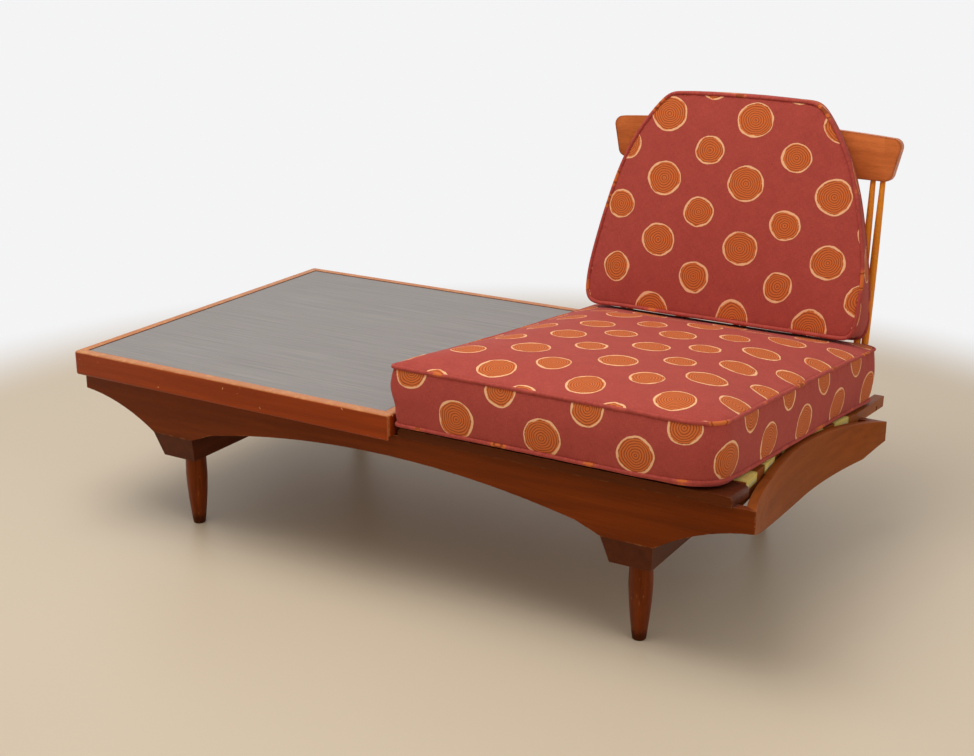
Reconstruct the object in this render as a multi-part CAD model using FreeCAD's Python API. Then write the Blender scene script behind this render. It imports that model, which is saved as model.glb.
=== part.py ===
import FreeCAD, Part
import math
import os

from FreeCAD import Vector

# Modular bench: a low wooden base that carries a lift-off table and a lift-off seat.
# Millimetres, +Z up, floor at zero. X runs along the bench, with the table on the
# negative side and the seat on the positive side. The front faces -Y.
# While it is drawn, the zero of X and Y is the middle of the base between its legs.
# The finished part is moved so that the middle of its box stands over the origin.

# Base frame
base_half_length = 718.0        # middle of the base to the tips of a long rail
base_half_depth = 346.0         # middle of the base to the outer face of a long rail
front_height = 308.0            # floor to the top of the front rail
rear_drop = 62.5                # how much lower the top of the rear rail is
rail_thickness = 19.0           # front and rear rails
end_rail_thickness = 17.0
tip_height = 39.5               # height of the front rail at its tips
beam_top_height = 205.0         # floor to the top of the leg beams, where the rails rest
tip_curve_height = 252.0        # floor to the lower edge between tip and beam
tip_curve_share = 0.55          # where along the tip's lower edge that is
arch_middle_height = 265.0      # floor to the middle of the front rail's arch
arch_shoulder_rise = 19.0       # rise of the steep flank beside a leg beam
arch_shoulder_run = 48.0
end_rail_bow = 55.0             # how far an end rail bends in towards the middle
end_rail_crown = 17.0           # how far its top edge rises above the sloping top
end_rail_crown_start_share = 0.48  # share of the half depth, in front of the middle
end_rail_low_height = 185.5     # floor to the deepest stretch of the lower edge
end_rail_low_front_share = 0.16
end_rail_low_rear_share = 0.80
end_rail_front_curve_height = 205.5
end_rail_front_curve_share = 0.48

# Leg beams, legs and the fixings between them
leg_end_inset = 223.0           # rail tips to a leg's axis
leg_side_inset = 63.0           # outer face of a long rail to a leg's axis
beam_top_width = 98.0
beam_bottom_width = 78.0
beam_end_slant = 16.0           # how far a beam's lower end edges are set back
leg_height = 154.0
leg_top_diameter = 41.0
leg_widest_diameter = 43.0
leg_middle_diameter = 36.5
leg_foot_diameter = 24.5
leg_widest_height = 106.0
leg_middle_height = 53.0
leg_foot_chamfer = 1.5
leg_bolt_diameter = 8.0
leg_bolt_in_leg = 38.0
leg_bolt_in_beam = 34.0
dowel_diameter = 8.0
dowel_inset = 12.0              # outer face of a long rail to a dowel's axis
dowel_spacing = 56.0
dowel_in_beam = 18.0
dowel_in_rail = 26.0
fixing_clearance = 0.3          # hole wall to bolt, dowel, screw or spindle
corner_block_side = 34.0
corner_block_height = 18.0
corner_block_drop = 24.0
corner_block_clearance = 0.6    # corner block to the bowed end rail

# Table
table_width = 762.0             # along X
table_depth = 798.0             # along Y
table_height = 350.0            # floor to the top of the edge bands
table_front_overhang = 21.0     # table's front face to the front rail's outer face
table_left_overhang = 8.0       # table's left face to the rail tips
band_height = 48.5              # front and rear bands
band_thickness = 20.0
band_corner = 8.0               # upright corners, in plan
band_round = 4.5                # upper and lower outer edges
side_band_clearance = 0.4       # side bands to the front rail's top
sheet_thickness = 2.0
sheet_recess = 1.2              # the sheet's top lies this much below the bands
core_thickness = 18.0
runner_thickness = 22.0
runner_inset = 120.0            # inner face of a side band to the runner
runner_end_gap = 18.0           # inner face of the rear band to the runner
runner_screw_shares = (0.08, 0.36, 0.64, 0.92)
screw_diameter = 4.5
screw_head_diameter = 9.0
screw_head_height = 3.0
runner_screw_length = 32.0

# Seat frame, drawn level and then turned down onto the base's sloping top
seat_gap = 11.0                 # table to the front board
board_right_margin = 38.0       # board's right end to the rail tips
board_depth = 93.0
board_thickness = 17.0
board_overhang = 9.0
board_round = 7.5
board_corner = 24.0
seat_rail_thickness = 20.0
seat_rail_front_inset = 9.0     # board's end to a seat rail's outer face, at the front
seat_rail_middle_inset = 43.0   # the same at the bend, beside the bowed end rail's middle
seat_rail_rear_inset = 12.0     # the same at the rear
seat_rail_knee = 660.0          # front of the base to where a seat rail runs straight again
seat_rail_tail = 33.0           # how far a seat rail reaches behind the spindle rail
seat_rail_rise = 15.0           # top of a seat rail above the base's top
seat_rail_drop = 22.0           # its underside between the base's rails
seat_rail_tail_drop = 7.0       # its underside behind the base
seat_rail_clearance = 1.0       # seat rail to the base's rails
seat_joint_gap = 0.5            # seat rail's shoulder to the front board
spindle_rail_depth = 26.0
spindle_rail_height = 30.0
spindle_rail_setback = 792.0    # front of the base to the rail's middle, down the slope
strap_count = 5
strap_width = 64.0
strap_thickness = 2.0
strap_first = 121.0             # front of the base to the first strap's middle
strap_pitch = 116.0
strap_wrap = 15.0               # how far a strap turns down over a seat rail
board_screw_inset = 14.0
board_screw_length = 26.0
rail_screw_length = 42.0
rail_screw_rise = -1.5          # side screws to the base's top, below the sockets

# Spindles and crest rail
spindle_pair_count = 5
spindle_top_inset = 52.5        # board's end to the middle of the outermost pair
spindle_bottom_inset = 57.5
spindle_top_gap = 20.0          # between the axes of a pair
spindle_bottom_gap = 15.0
spindle_end_diameter = 10.5
spindle_widest_diameter = 15.0
spindle_widest_share = 0.45
spindle_socket = 12.0
crest_setback = 826.0           # front of the base to the middle of the crest's ends
crest_height = 687.0            # floor to the crest's underside
crest_end_height = 83.0
crest_middle_height = 95.0
crest_top_inset = 6.5           # board's end to the crest's end, before its shift
crest_bottom_inset = 24.5
crest_thickness = 21.0
crest_bow = 14.0                # how far the crest's middle lies behind its ends
crest_corner = 17.0
crest_shift = 5.0               # how far left of the seat's middle the crest and the spindles' heads lie

# Seat cushion, drawn level and turned down with the seat frame
seat_cushion_gap = 4.5          # table to the sewn edge
seat_cushion_right_margin = 69.0  # sewn edge to the rail tips, at the front
seat_cushion_flare = 16.0       # how much further right the rear right corner lies
seat_cushion_depth = 787.0
seat_cushion_overhang = 15.0
seat_cushion_boxing = 103.0     # between the lower and the upper sewn edge
seat_cushion_crown = 37.0
seat_cushion_corner = 30.0      # rear right corner
seat_cushion_front_corner = 62.0  # front right corner
seat_cushion_table_corner = 12.0  # the two corners beside the table
seat_cushion_pull = 3.0         # how far a side is drawn in between its corners
seat_cushion_edge_rise = 6.5    # underside to the lower sewn edge
seat_cushion_rest = 0.4         # front board to the underside

# Back cushion
back_cushion_recline = 6.7      # degrees from upright, rear face
back_cushion_taper = 4.3        # degrees that the front face leans back more than the rear face
back_cushion_shift = 12.0       # how far left of the seat's middle it lies
back_cushion_height = 438.0
back_cushion_bottom_inset = 22.5  # board's end to the lower corner
back_cushion_shoulder_inset = 77.5  # board's end to the side, where it starts to lean in more
back_cushion_shoulder_height = 290.0
back_cushion_top_inset = 160.5  # board's end to the top corner
back_cushion_bottom_corner = 24.0
back_cushion_side_bulge = 6.0   # how far a stretch of the side swells beyond a straight line
back_cushion_top_corner_run = 15.0
back_cushion_top_corner_drop = 6.0
back_cushion_top_corner_bulge = 2.5
back_cushion_top_rise = 3.0     # how far the top edge is arched
back_cushion_boxing = 78.0      # at the lower edge
back_cushion_crown = 12.0       # front and rear
back_cushion_rest = 0.5         # back cushion to the seat cushion and to the crest

# Shape of every padded face: how far in from the sewn edge, and how high
crown_inset_shares = (0.04, 0.12, 0.26, 0.50)
crown_height_shares = (0.36, 0.68, 0.89, 1.0)
underside_inset_share = 0.03
puff_share = 0.012              # how far the boxing swells beyond its sewn edges

overrun = 60.0                  # extra reach of the cutting shapes

slope = math.atan2(rear_drop, 2 * base_half_depth)
rear_height = front_height - rear_drop
leg_spread = base_half_length - leg_end_inset
table_left = -base_half_length - table_left_overhang
table_right = table_left + table_width
table_front = -base_half_depth - table_front_overhang
table_rear = table_front + table_depth
board_left = table_right + seat_gap
board_right = base_half_length - board_right_margin
board_half_length = (board_right - board_left) / 2
seat_middle = (board_left + board_right) / 2
crest_half_top = board_half_length - crest_top_inset
crest_half_bottom = board_half_length - crest_bottom_inset
seat_cushion_left = table_right + seat_cushion_gap
seat_cushion_right = base_half_length - seat_cushion_right_margin
board_rear = -base_half_depth - board_overhang + board_depth
seat_rail_start = rail_thickness + seat_rail_clearance
seat_rail_end = spindle_rail_setback + spindle_rail_depth / 2 + seat_rail_tail
seat_rail_bends = (seat_rail_start, base_half_depth, seat_rail_knee, seat_rail_end)
rail_inner = base_half_depth - rail_thickness
end_rail_radius = (base_half_depth ** 2 + end_rail_bow ** 2) / (2 * end_rail_bow)
end_rail_centre = base_half_length - end_rail_bow + end_rail_radius
core_top = table_height - sheet_recess - sheet_thickness
core_bottom = core_top - core_thickness

nodes = {}


def box(x0, x1, y0, y1, z0, z1):
    return Part.makeBox(x1 - x0, y1 - y0, z1 - z0, Vector(x0, y0, z0))


def rod(diameter, start, end):
    axis = end - start
    return Part.makeCylinder(diameter / 2, axis.Length, start, axis)


def arc(start, middle, end):
    return Part.Arc(start, middle, end).toShape()


def line(start, end):
    return Part.LineSegment(start, end).toShape()


def prism(edges, sweep):
    return Part.Face(Part.Wire(edges)).extrude(sweep)


def polygon_prism(points, sweep):
    return Part.Face(Part.makePolygon(points + [points[0]])).extrude(sweep)


def group(solids):
    return Part.makeCompound(solids)


def height_at(y):
    # Height of the base's sloping top at a place along Y
    return front_height - (y + base_half_depth) * rear_drop / (2 * base_half_depth)


def on_slope(x, setback, rise):
    # A point given by its distance down the sloping top and its height above it
    y = -base_half_depth + setback * math.cos(slope) + rise * math.sin(slope)
    return Vector(x, y, front_height - setback * math.sin(slope) + rise * math.cos(slope))


def lay_on_slope(shape):
    turned = shape.copy()
    turned.rotate(Vector(0, -base_half_depth, front_height), Vector(1, 0, 0), -math.degrees(slope))
    return turned


def under_top(x0, x1, y0, y1):
    # Everything below the base's sloping top inside a rectangle in plan
    return polygon_prism([Vector(x0, y0, 0), Vector(x0, y1, 0), Vector(x0, y1, height_at(y1)),
                          Vector(x0, y0, height_at(y0))], Vector(x1 - x0, 0, 0))


def end_rail_inner_x(y):
    # Inner face of the right end rail at a place along Y
    return end_rail_centre - math.sqrt((end_rail_radius + end_rail_thickness) ** 2 - y ** 2)


def screw(start, direction, length):
    shank = rod(screw_diameter, start, start + direction * length)
    head = rod(screw_head_diameter, start, start + direction * screw_head_height)
    return shank.fuse(head)


def screw_hole(start, direction, length):
    # Wider than the screw on every side, but its end seats the screw's end
    out = direction * overrun
    wide = 2 * fixing_clearance
    shank = rod(screw_diameter + wide, start, start + direction * length)
    head = rod(screw_head_diameter + wide, start - out, start + direction * screw_head_height)
    return shank.fuse(head)


def long_rail_plan(side):
    # A long rail is mitred towards the bowed end rails
    outer = side * base_half_depth
    inner = side * rail_inner
    corner = end_rail_inner_x(rail_inner)
    return polygon_prism([Vector(-base_half_length, outer, 0), Vector(base_half_length, outer, 0),
                          Vector(corner, inner, 0), Vector(-corner, inner, 0)],
                         Vector(0, 0, front_height + overrun))


def front_rail():
    # Thin tips, a deep stretch over each leg beam and a shallow arch between them
    y = -base_half_depth - overrun
    block_out = leg_spread + beam_top_width / 2
    block_in = leg_spread - beam_top_width / 2
    shoulder = block_in - arch_shoulder_run
    shoulder_height = beam_top_height + arch_shoulder_rise
    tip_low = front_height - tip_height
    curve_x = base_half_length + (block_out - base_half_length) * (1 - tip_curve_share)
    top = front_height + overrun
    edges = [
        line(Vector(-base_half_length, y, top), Vector(base_half_length, y, top)),
        line(Vector(base_half_length, y, top), Vector(base_half_length, y, tip_low)),
        arc(Vector(base_half_length, y, tip_low), Vector(curve_x, y, tip_curve_height),
            Vector(block_out, y, beam_top_height)),
        line(Vector(block_out, y, beam_top_height), Vector(block_in, y, beam_top_height)),
        line(Vector(block_in, y, beam_top_height), Vector(shoulder, y, shoulder_height)),
        arc(Vector(shoulder, y, shoulder_height), Vector(0, y, arch_middle_height),
            Vector(-shoulder, y, shoulder_height)),
        line(Vector(-shoulder, y, shoulder_height), Vector(-block_in, y, beam_top_height)),
        line(Vector(-block_in, y, beam_top_height), Vector(-block_out, y, beam_top_height)),
        arc(Vector(-block_out, y, beam_top_height), Vector(-curve_x, y, tip_curve_height),
            Vector(-base_half_length, y, tip_low)),
        line(Vector(-base_half_length, y, tip_low), Vector(-base_half_length, y, top)),
    ]
    elevation = prism(edges, Vector(0, rail_thickness + 2 * overrun, 0))
    below = under_top(-base_half_length, base_half_length, -base_half_depth, -rail_inner)
    return long_rail_plan(-1).common(elevation).common(below)


def rear_rail():
    # A plain board that rests on the leg beams
    board = under_top(-base_half_length, base_half_length, rail_inner, base_half_depth)
    floor = box(-base_half_length, base_half_length, rail_inner, base_half_depth, 0, beam_top_height)
    return long_rail_plan(1).common(board).cut(floor)


def right_end_rail():
    # Bowed in plan, with a crowned top edge and a lower edge that hangs down in the middle
    middle_outer = base_half_length - end_rail_bow
    middle_inner = middle_outer - end_rail_thickness
    corner = end_rail_inner_x(rail_inner)
    front_tip = Vector(base_half_length, -base_half_depth, 0)
    rear_tip = Vector(base_half_length, base_half_depth, 0)
    plan = prism([
        arc(front_tip, Vector(middle_outer, 0, 0), rear_tip),
        line(rear_tip, Vector(corner, rail_inner, 0)),
        arc(Vector(corner, rail_inner, 0), Vector(middle_inner, 0, 0), Vector(corner, -rail_inner, 0)),
        line(Vector(corner, -rail_inner, 0), front_tip),
    ], Vector(0, 0, front_height + overrun))
    x = middle_inner - overrun
    depth = base_half_depth
    crown_start = -end_rail_crown_start_share * depth
    crown_middle = (crown_start + depth) / 2
    low_front = end_rail_low_front_share * depth
    low_rear = end_rail_low_rear_share * depth
    edges = [
        line(Vector(x, -depth, front_height), Vector(x, crown_start, height_at(crown_start))),
        arc(Vector(x, crown_start, height_at(crown_start)),
            Vector(x, crown_middle, height_at(crown_middle) + end_rail_crown),
            Vector(x, depth, rear_height)),
        line(Vector(x, depth, rear_height), Vector(x, depth, beam_top_height)),
        line(Vector(x, depth, beam_top_height), Vector(x, low_rear, end_rail_low_height)),
        line(Vector(x, low_rear, end_rail_low_height), Vector(x, low_front, end_rail_low_height)),
        arc(Vector(x, low_front, end_rail_low_height),
            Vector(x, -end_rail_front_curve_share * depth, end_rail_front_curve_height),
            Vector(x, -depth, front_height - tip_height)),
        line(Vector(x, -depth, front_height - tip_height), Vector(x, -depth, front_height)),
    ]
    elevation = prism(edges, Vector(end_rail_bow + end_rail_thickness + 2 * overrun, 0, 0))
    return plan.common(elevation)


def leg_beam(x):
    half_top = beam_top_width / 2
    half_bottom = beam_bottom_width / 2
    depth = base_half_depth
    section = polygon_prism([Vector(x - half_top, -depth, beam_top_height),
                             Vector(x + half_top, -depth, beam_top_height),
                             Vector(x + half_bottom, -depth, leg_height),
                             Vector(x - half_bottom, -depth, leg_height)], Vector(0, 2 * depth, 0))
    side = x - half_top
    length = depth - beam_end_slant
    slanted = polygon_prism([Vector(side, -depth, beam_top_height), Vector(side, depth, beam_top_height),
                             Vector(side, length, leg_height), Vector(side, -length, leg_height)],
                            Vector(beam_top_width, 0, 0))
    return section.common(slanted)


def leg(x, y):
    # A turned leg, widest about two thirds of the way up
    foot = leg_foot_diameter / 2
    profile = [
        line(Vector(0, 0, 0), Vector(foot - leg_foot_chamfer, 0, 0)),
        line(Vector(foot - leg_foot_chamfer, 0, 0), Vector(foot, 0, leg_foot_chamfer)),
        arc(Vector(foot, 0, leg_foot_chamfer), Vector(leg_middle_diameter / 2, 0, leg_middle_height),
            Vector(leg_widest_diameter / 2, 0, leg_widest_height)),
        line(Vector(leg_widest_diameter / 2, 0, leg_widest_height),
             Vector(leg_top_diameter / 2, 0, leg_height)),
        line(Vector(leg_top_diameter / 2, 0, leg_height), Vector(0, 0, leg_height)),
        line(Vector(0, 0, leg_height), Vector(0, 0, 0)),
    ]
    turned = Part.Face(Part.Wire(profile)).revolve(Vector(0, 0, 0), Vector(0, 0, 1), 360)
    turned.translate(Vector(x, y, 0))
    return turned


def corner_block(x_side, y_side):
    # A three-cornered block glued against the long rail, just clear of the bowed end rail
    wall_x = end_rail_inner_x(rail_inner) - corner_block_clearance
    back_x = end_rail_inner_x(rail_inner - corner_block_side) - corner_block_clearance
    far_x = wall_x - corner_block_side
    wall_y = y_side * rail_inner
    far_y = y_side * (rail_inner - corner_block_side)
    top = min(height_at(wall_y), height_at(far_y)) - corner_block_drop
    return polygon_prism([Vector(x_side * wall_x, wall_y, top), Vector(x_side * far_x, wall_y, top),
                          Vector(x_side * back_x, far_y, top)], Vector(0, 0, -corner_block_height))


def add_base():
    right_rail = right_end_rail()
    left_rail = right_rail.mirror(Vector(0, 0, 0), Vector(1, 0, 0))
    front = front_rail()
    rear = rear_rail()
    bolts = []
    dowels = []
    wide = 2 * fixing_clearance
    for name, side in (("left", -1), ("right", 1)):
        x = side * leg_spread
        beam = leg_beam(x)
        for place, end in (("front", -1), ("rear", 1)):
            y = end * (base_half_depth - leg_side_inset)
            low = Vector(x, y, leg_height - leg_bolt_in_leg)
            high = Vector(x, y, leg_height + leg_bolt_in_beam)
            bolts.append(rod(leg_bolt_diameter, low, high))
            hole = rod(leg_bolt_diameter + wide, low, high)
            nodes[place + "_" + name + "_leg"] = leg(x, y).cut(hole)
            beam = beam.cut(hole)
            for offset in (-dowel_spacing / 2, dowel_spacing / 2):
                dowel_y = end * (base_half_depth - dowel_inset)
                low = Vector(x + offset, dowel_y, beam_top_height - dowel_in_beam)
                high = Vector(x + offset, dowel_y, beam_top_height + dowel_in_rail)
                dowels.append(rod(dowel_diameter, low, high))
                hole = rod(dowel_diameter + wide, low, high)
                beam = beam.cut(hole)
                front = front.cut(hole)
                rear = rear.cut(hole)
        nodes[name + "_leg_beam"] = beam
    nodes["front_rail"] = front
    nodes["rear_rail"] = rear
    nodes["left_end_rail"] = left_rail
    nodes["right_end_rail"] = right_rail
    nodes["leg_bolts"] = group(bolts)
    nodes["rail_dowels"] = group(dowels)
    nodes["corner_blocks"] = group([corner_block(i, j) for i in (-1, 1) for j in (-1, 1)])


def table_band(corners, low):
    # One mitred band, cut from a slab with rounded upright corners and rounded rims
    slab = box(table_left, table_right, table_front, table_rear, low, table_height)
    upright = [edge for edge in slab.Edges if edge.BoundBox.ZLength > band_round]
    slab = slab.makeFillet(band_corner, upright)
    rims = [edge for edge in slab.Edges if edge.BoundBox.ZLength < band_round]
    slab = slab.makeFillet(band_round, rims)
    plan = polygon_prism([Vector(x, y, low) for x, y in corners], Vector(0, 0, table_height - low))
    return slab.common(plan)


def add_table():
    left, right = table_left, table_right
    front, rear = table_front, table_rear
    inner_left, inner_right = left + band_thickness, right - band_thickness
    inner_front, inner_rear = front + band_thickness, rear - band_thickness
    long_low = table_height - band_height
    side_low = front_height + side_band_clearance
    nodes["table_front_band"] = table_band([(left, front), (right, front), (inner_right, inner_front),
                                            (inner_left, inner_front)], long_low)
    nodes["table_rear_band"] = table_band([(right, rear), (left, rear), (inner_left, inner_rear),
                                           (inner_right, inner_rear)], long_low)
    nodes["table_left_band"] = table_band([(left, rear), (left, front), (inner_left, inner_front),
                                           (inner_left, inner_rear)], side_low)
    nodes["table_right_band"] = table_band([(right, front), (right, rear), (inner_right, inner_rear),
                                            (inner_right, inner_front)], side_low)
    nodes["table_sheet"] = box(inner_left, inner_right, inner_front, inner_rear,
                               core_top, core_top + sheet_thickness)
    core = box(inner_left, inner_right, inner_front, inner_rear, core_bottom, core_top)
    # The runners are wedges: level on top, and sloping below to rest on the base's rails
    runner_rear = inner_rear - runner_end_gap
    runner_length = runner_rear + base_half_depth
    down = Vector(0, 0, -1)
    screws = []
    left_runner = inner_left + runner_inset
    right_runner = inner_right - runner_inset - runner_thickness
    for name, x in (("left", left_runner), ("right", right_runner)):
        runner = polygon_prism([Vector(x, -base_half_depth, core_bottom), Vector(x, runner_rear, core_bottom),
                                Vector(x, runner_rear, height_at(runner_rear)),
                                Vector(x, -base_half_depth, front_height)], Vector(runner_thickness, 0, 0))
        for share in runner_screw_shares:
            y = -base_half_depth + share * runner_length
            start = Vector(x + runner_thickness / 2, y, core_top)
            hole = screw_hole(start, down, runner_screw_length)
            screws.append(screw(start, down, runner_screw_length))
            runner = runner.cut(hole)
            core = core.cut(hole)
        nodes["table_" + name + "_runner"] = runner
    nodes["table_core"] = core
    nodes["runner_screws"] = group(screws)


def seat_rail_half_spread(setback):
    # Seat's middle to the outer face of a seat rail, which bends in beside the bowed end rail
    insets = (seat_rail_front_inset, seat_rail_middle_inset, seat_rail_rear_inset, seat_rail_rear_inset)
    for i in range(3):
        if setback <= seat_rail_bends[i + 1] or i == 2:
            share = (setback - seat_rail_bends[i]) / (seat_rail_bends[i + 1] - seat_rail_bends[i])
            return board_half_length - insets[i] - share * (insets[i + 1] - insets[i])


def seat_rail(side):
    front_y = -base_half_depth + seat_rail_start
    rear_y = -base_half_depth + seat_rail_end
    low = front_height - seat_rail_drop - overrun
    high = front_height + seat_rail_rise + overrun
    outer = [Vector(seat_middle + side * seat_rail_half_spread(setback), setback - base_half_depth, low)
             for setback in seat_rail_bends]
    inward = Vector(-side * seat_rail_thickness, 0, 0)
    plan = polygon_prism(outer + [point + inward for point in reversed(outer)], Vector(0, 0, high - low))
    x = seat_middle - board_half_length - overrun
    shoulder_y = board_rear + seat_joint_gap
    notch_y = base_half_depth / math.cos(slope)
    top = front_height + seat_rail_rise
    side_view = polygon_prism([
        Vector(x, front_y, front_height), Vector(x, shoulder_y, front_height), Vector(x, shoulder_y, top),
        Vector(x, rear_y, top), Vector(x, rear_y, front_height - seat_rail_tail_drop),
        Vector(x, notch_y, front_height - seat_rail_tail_drop), Vector(x, notch_y, front_height - seat_rail_drop),
        Vector(x, front_y, front_height - seat_rail_drop),
    ], Vector(2 * (board_half_length + overrun), 0, 0))
    rail = lay_on_slope(plan.common(side_view))
    # Space for the base's front and rear rails, which this rail hooks between and rests on
    reach = base_half_length
    front_space = box(-reach, reach, -base_half_depth, -rail_inner + seat_rail_clearance,
                      rear_height, front_height + overrun)
    rear_space = under_top(-reach, reach, rail_inner - seat_rail_clearance,
                           base_half_depth + seat_rail_clearance)
    return rail.cut(front_space).cut(rear_space)


def front_board():
    front = -base_half_depth - board_overhang
    board = box(board_left, board_right, front, board_rear,
                front_height, front_height + board_thickness)
    corners = [edge for edge in board.Edges
               if edge.BoundBox.YMin > front + board_depth / 2 and edge.BoundBox.ZLength > board_thickness / 2]
    board = board.makeFillet(board_corner, corners)
    rim = [edge for edge in board.Edges
           if edge.BoundBox.YMax > front + board_depth / 2 and edge.BoundBox.ZLength < board_thickness / 2
           and edge.BoundBox.ZMin > front_height + board_thickness / 2]
    return board.makeFillet(board_round, rim)


def strap(setback):
    # Flat webbing across the seat rails, turned down over their outer faces
    y0 = setback - strap_width / 2
    y1 = setback + strap_width / 2
    top = front_height + seat_rail_rise

    def across(extra, low, high):
        places = [y0] + [bend for bend in seat_rail_bends if y0 < bend < y1] + [y1]
        sides = [[Vector(seat_middle + side * (seat_rail_half_spread(place) + extra), place - base_half_depth, low)
                  for place in places] for side in (-1, 1)]
        return polygon_prism(sides[0] + sides[1][::-1], Vector(0, 0, high - low))

    outer = across(strap_thickness, top - strap_wrap, top + strap_thickness)
    inner = across(0, top - strap_wrap, top)
    return lay_on_slope(outer.cut(inner))


def spindle(start, end):
    # Turned and slightly swollen, with straight ends that stand in their sockets
    axis = end - start
    length = axis.Length
    end_radius = spindle_end_diameter / 2
    low = spindle_socket
    high = length - spindle_socket
    widest = low + (high - low) * spindle_widest_share
    profile = [
        line(Vector(0, 0, 0), Vector(end_radius, 0, 0)),
        line(Vector(end_radius, 0, 0), Vector(end_radius, 0, low)),
        arc(Vector(end_radius, 0, low), Vector(spindle_widest_diameter / 2, 0, widest),
            Vector(end_radius, 0, high)),
        line(Vector(end_radius, 0, high), Vector(end_radius, 0, length)),
        line(Vector(end_radius, 0, length), Vector(0, 0, length)),
        line(Vector(0, 0, length), Vector(0, 0, 0)),
    ]
    turned = Part.Face(Part.Wire(profile)).revolve(Vector(0, 0, 0), Vector(0, 0, 1), 360)
    turned.Placement = FreeCAD.Placement(start, FreeCAD.Rotation(Vector(0, 0, 1), axis))
    return turned


def crest_bow_at(x):
    # How far behind its ends the bowed crest rail lies, at a place from its middle
    return crest_bow * (1 - (x / crest_half_top) ** 2)


def crest_rail(lean, foot):
    # Bowed in plan, arched on top and narrower below, then leant back over the spindles
    half_top = crest_half_top
    half_bottom = crest_half_bottom
    front = -crest_thickness / 2
    rear = crest_thickness / 2
    low = -overrun
    plan = prism([
        arc(Vector(-half_top, front, low), Vector(0, front + crest_bow, low), Vector(half_top, front, low)),
        line(Vector(half_top, front, low), Vector(half_top, rear, low)),
        arc(Vector(half_top, rear, low), Vector(0, rear + crest_bow, low), Vector(-half_top, rear, low)),
        line(Vector(-half_top, rear, low), Vector(-half_top, front, low)),
    ], Vector(0, 0, crest_middle_height + 2 * overrun))
    y = front - overrun
    elevation = prism([
        line(Vector(-half_bottom, y, 0), Vector(half_bottom, y, 0)),
        line(Vector(half_bottom, y, 0), Vector(half_top, y, crest_end_height)),
        arc(Vector(half_top, y, crest_end_height), Vector(0, y, crest_middle_height),
            Vector(-half_top, y, crest_end_height)),
        line(Vector(-half_top, y, crest_end_height), Vector(-half_bottom, y, 0)),
    ], Vector(0, crest_thickness + crest_bow + 2 * overrun, 0))
    corners = [edge for edge in elevation.Edges
               if edge.BoundBox.YLength > crest_thickness and edge.BoundBox.XLength < crest_thickness]
    crest = plan.common(elevation.makeFillet(crest_corner, corners))
    crest.rotate(Vector(0, 0, 0), Vector(1, 0, 0), -math.degrees(lean))
    crest.translate(foot)
    return crest


def add_seat_frame():
    rails = {"left": seat_rail(-1), "right": seat_rail(1)}
    board = front_board()
    down = Vector(0, 0, -1)
    flat_screws = []
    board_y = board_rear - board_screw_inset
    half = seat_rail_half_spread(board_y + base_half_depth) - seat_rail_thickness / 2
    for side in (-1, 1):
        start = Vector(seat_middle + side * half, board_y, front_height + board_thickness)
        flat_screws.append(screw(start, down, board_screw_length))
        hole = screw_hole(start, down, board_screw_length)
        board = board.cut(hole)
        name = "left" if side < 0 else "right"
        rails[name] = rails[name].cut(lay_on_slope(hole))
    screws = [lay_on_slope(shape) for shape in flat_screws]

    # The spindle rail stands between the two seat rails
    y0 = spindle_rail_setback - spindle_rail_depth / 2
    y1 = spindle_rail_setback + spindle_rail_depth / 2
    near = seat_rail_half_spread(y0) - seat_rail_thickness
    far = seat_rail_half_spread(y1) - seat_rail_thickness
    top = front_height + seat_rail_rise
    bottom = top - spindle_rail_height
    front_y = y0 - base_half_depth
    rear_y = y1 - base_half_depth
    spindle_rail = lay_on_slope(polygon_prism([
        Vector(seat_middle - near, front_y, bottom), Vector(seat_middle + near, front_y, bottom),
        Vector(seat_middle + far, rear_y, bottom), Vector(seat_middle - far, rear_y, bottom),
    ], Vector(0, 0, spindle_rail_height)))
    for side in (-1, 1):
        name = "left" if side < 0 else "right"
        inward = Vector(-side, 0, 0)
        face = seat_rail_half_spread(spindle_rail_setback) - screw_head_height / 2
        start = on_slope(seat_middle + side * face, spindle_rail_setback, rail_screw_rise)
        hole = screw_hole(start, inward, rail_screw_length)
        screws.append(screw(start, inward, rail_screw_length))
        rails[name] = rails[name].cut(hole)
        spindle_rail = spindle_rail.cut(hole)

    crest_y = -base_half_depth + crest_setback
    foot = on_slope(0, spindle_rail_setback, seat_rail_rise)
    lean = math.atan2(crest_y - foot.y, crest_height - foot.z)
    crest = crest_rail(lean, Vector(seat_middle - crest_shift, crest_y, crest_height))
    wide = 2 * fixing_clearance
    for pair in range(spindle_pair_count):
        share = 2 * pair / (spindle_pair_count - 1) - 1
        rods = []
        for side in (-1, 1):
            top_x = share * (board_half_length - spindle_top_inset) + side * spindle_top_gap / 2
            bottom_x = share * (board_half_length - spindle_bottom_inset) + side * spindle_bottom_gap / 2
            base = on_slope(seat_middle + bottom_x, spindle_rail_setback, seat_rail_rise)
            head = Vector(seat_middle - crest_shift + top_x, crest_y + crest_bow_at(top_x), crest_height)
            axis = head - base
            axis.normalize()
            start = base - axis * spindle_socket
            end = head + axis * spindle_socket
            rods.append(spindle(start, end))
            socket_diameter = spindle_end_diameter + wide
            spindle_rail = spindle_rail.cut(rod(socket_diameter, start, base + axis * spindle_socket))
            crest = crest.cut(rod(socket_diameter, head - axis * spindle_socket, end))
        nodes["spindle_pair_" + str(pair + 1)] = group(rods)
    nodes["crest_rail"] = crest
    nodes["spindle_rail"] = spindle_rail
    nodes["seat_front_board"] = lay_on_slope(board)
    nodes["seat_left_rail"] = rails["left"]
    nodes["seat_right_rail"] = rails["right"]
    nodes["seat_screws"] = group(screws)
    for index in range(strap_count):
        nodes["webbing_strap_" + str(index + 1)] = strap(strap_first + index * strap_pitch)


def quarter_round(radius):
    # How far a quarter circle swells beyond the straight line between its ends
    return radius * (1 - math.sqrt(0.5))


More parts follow.
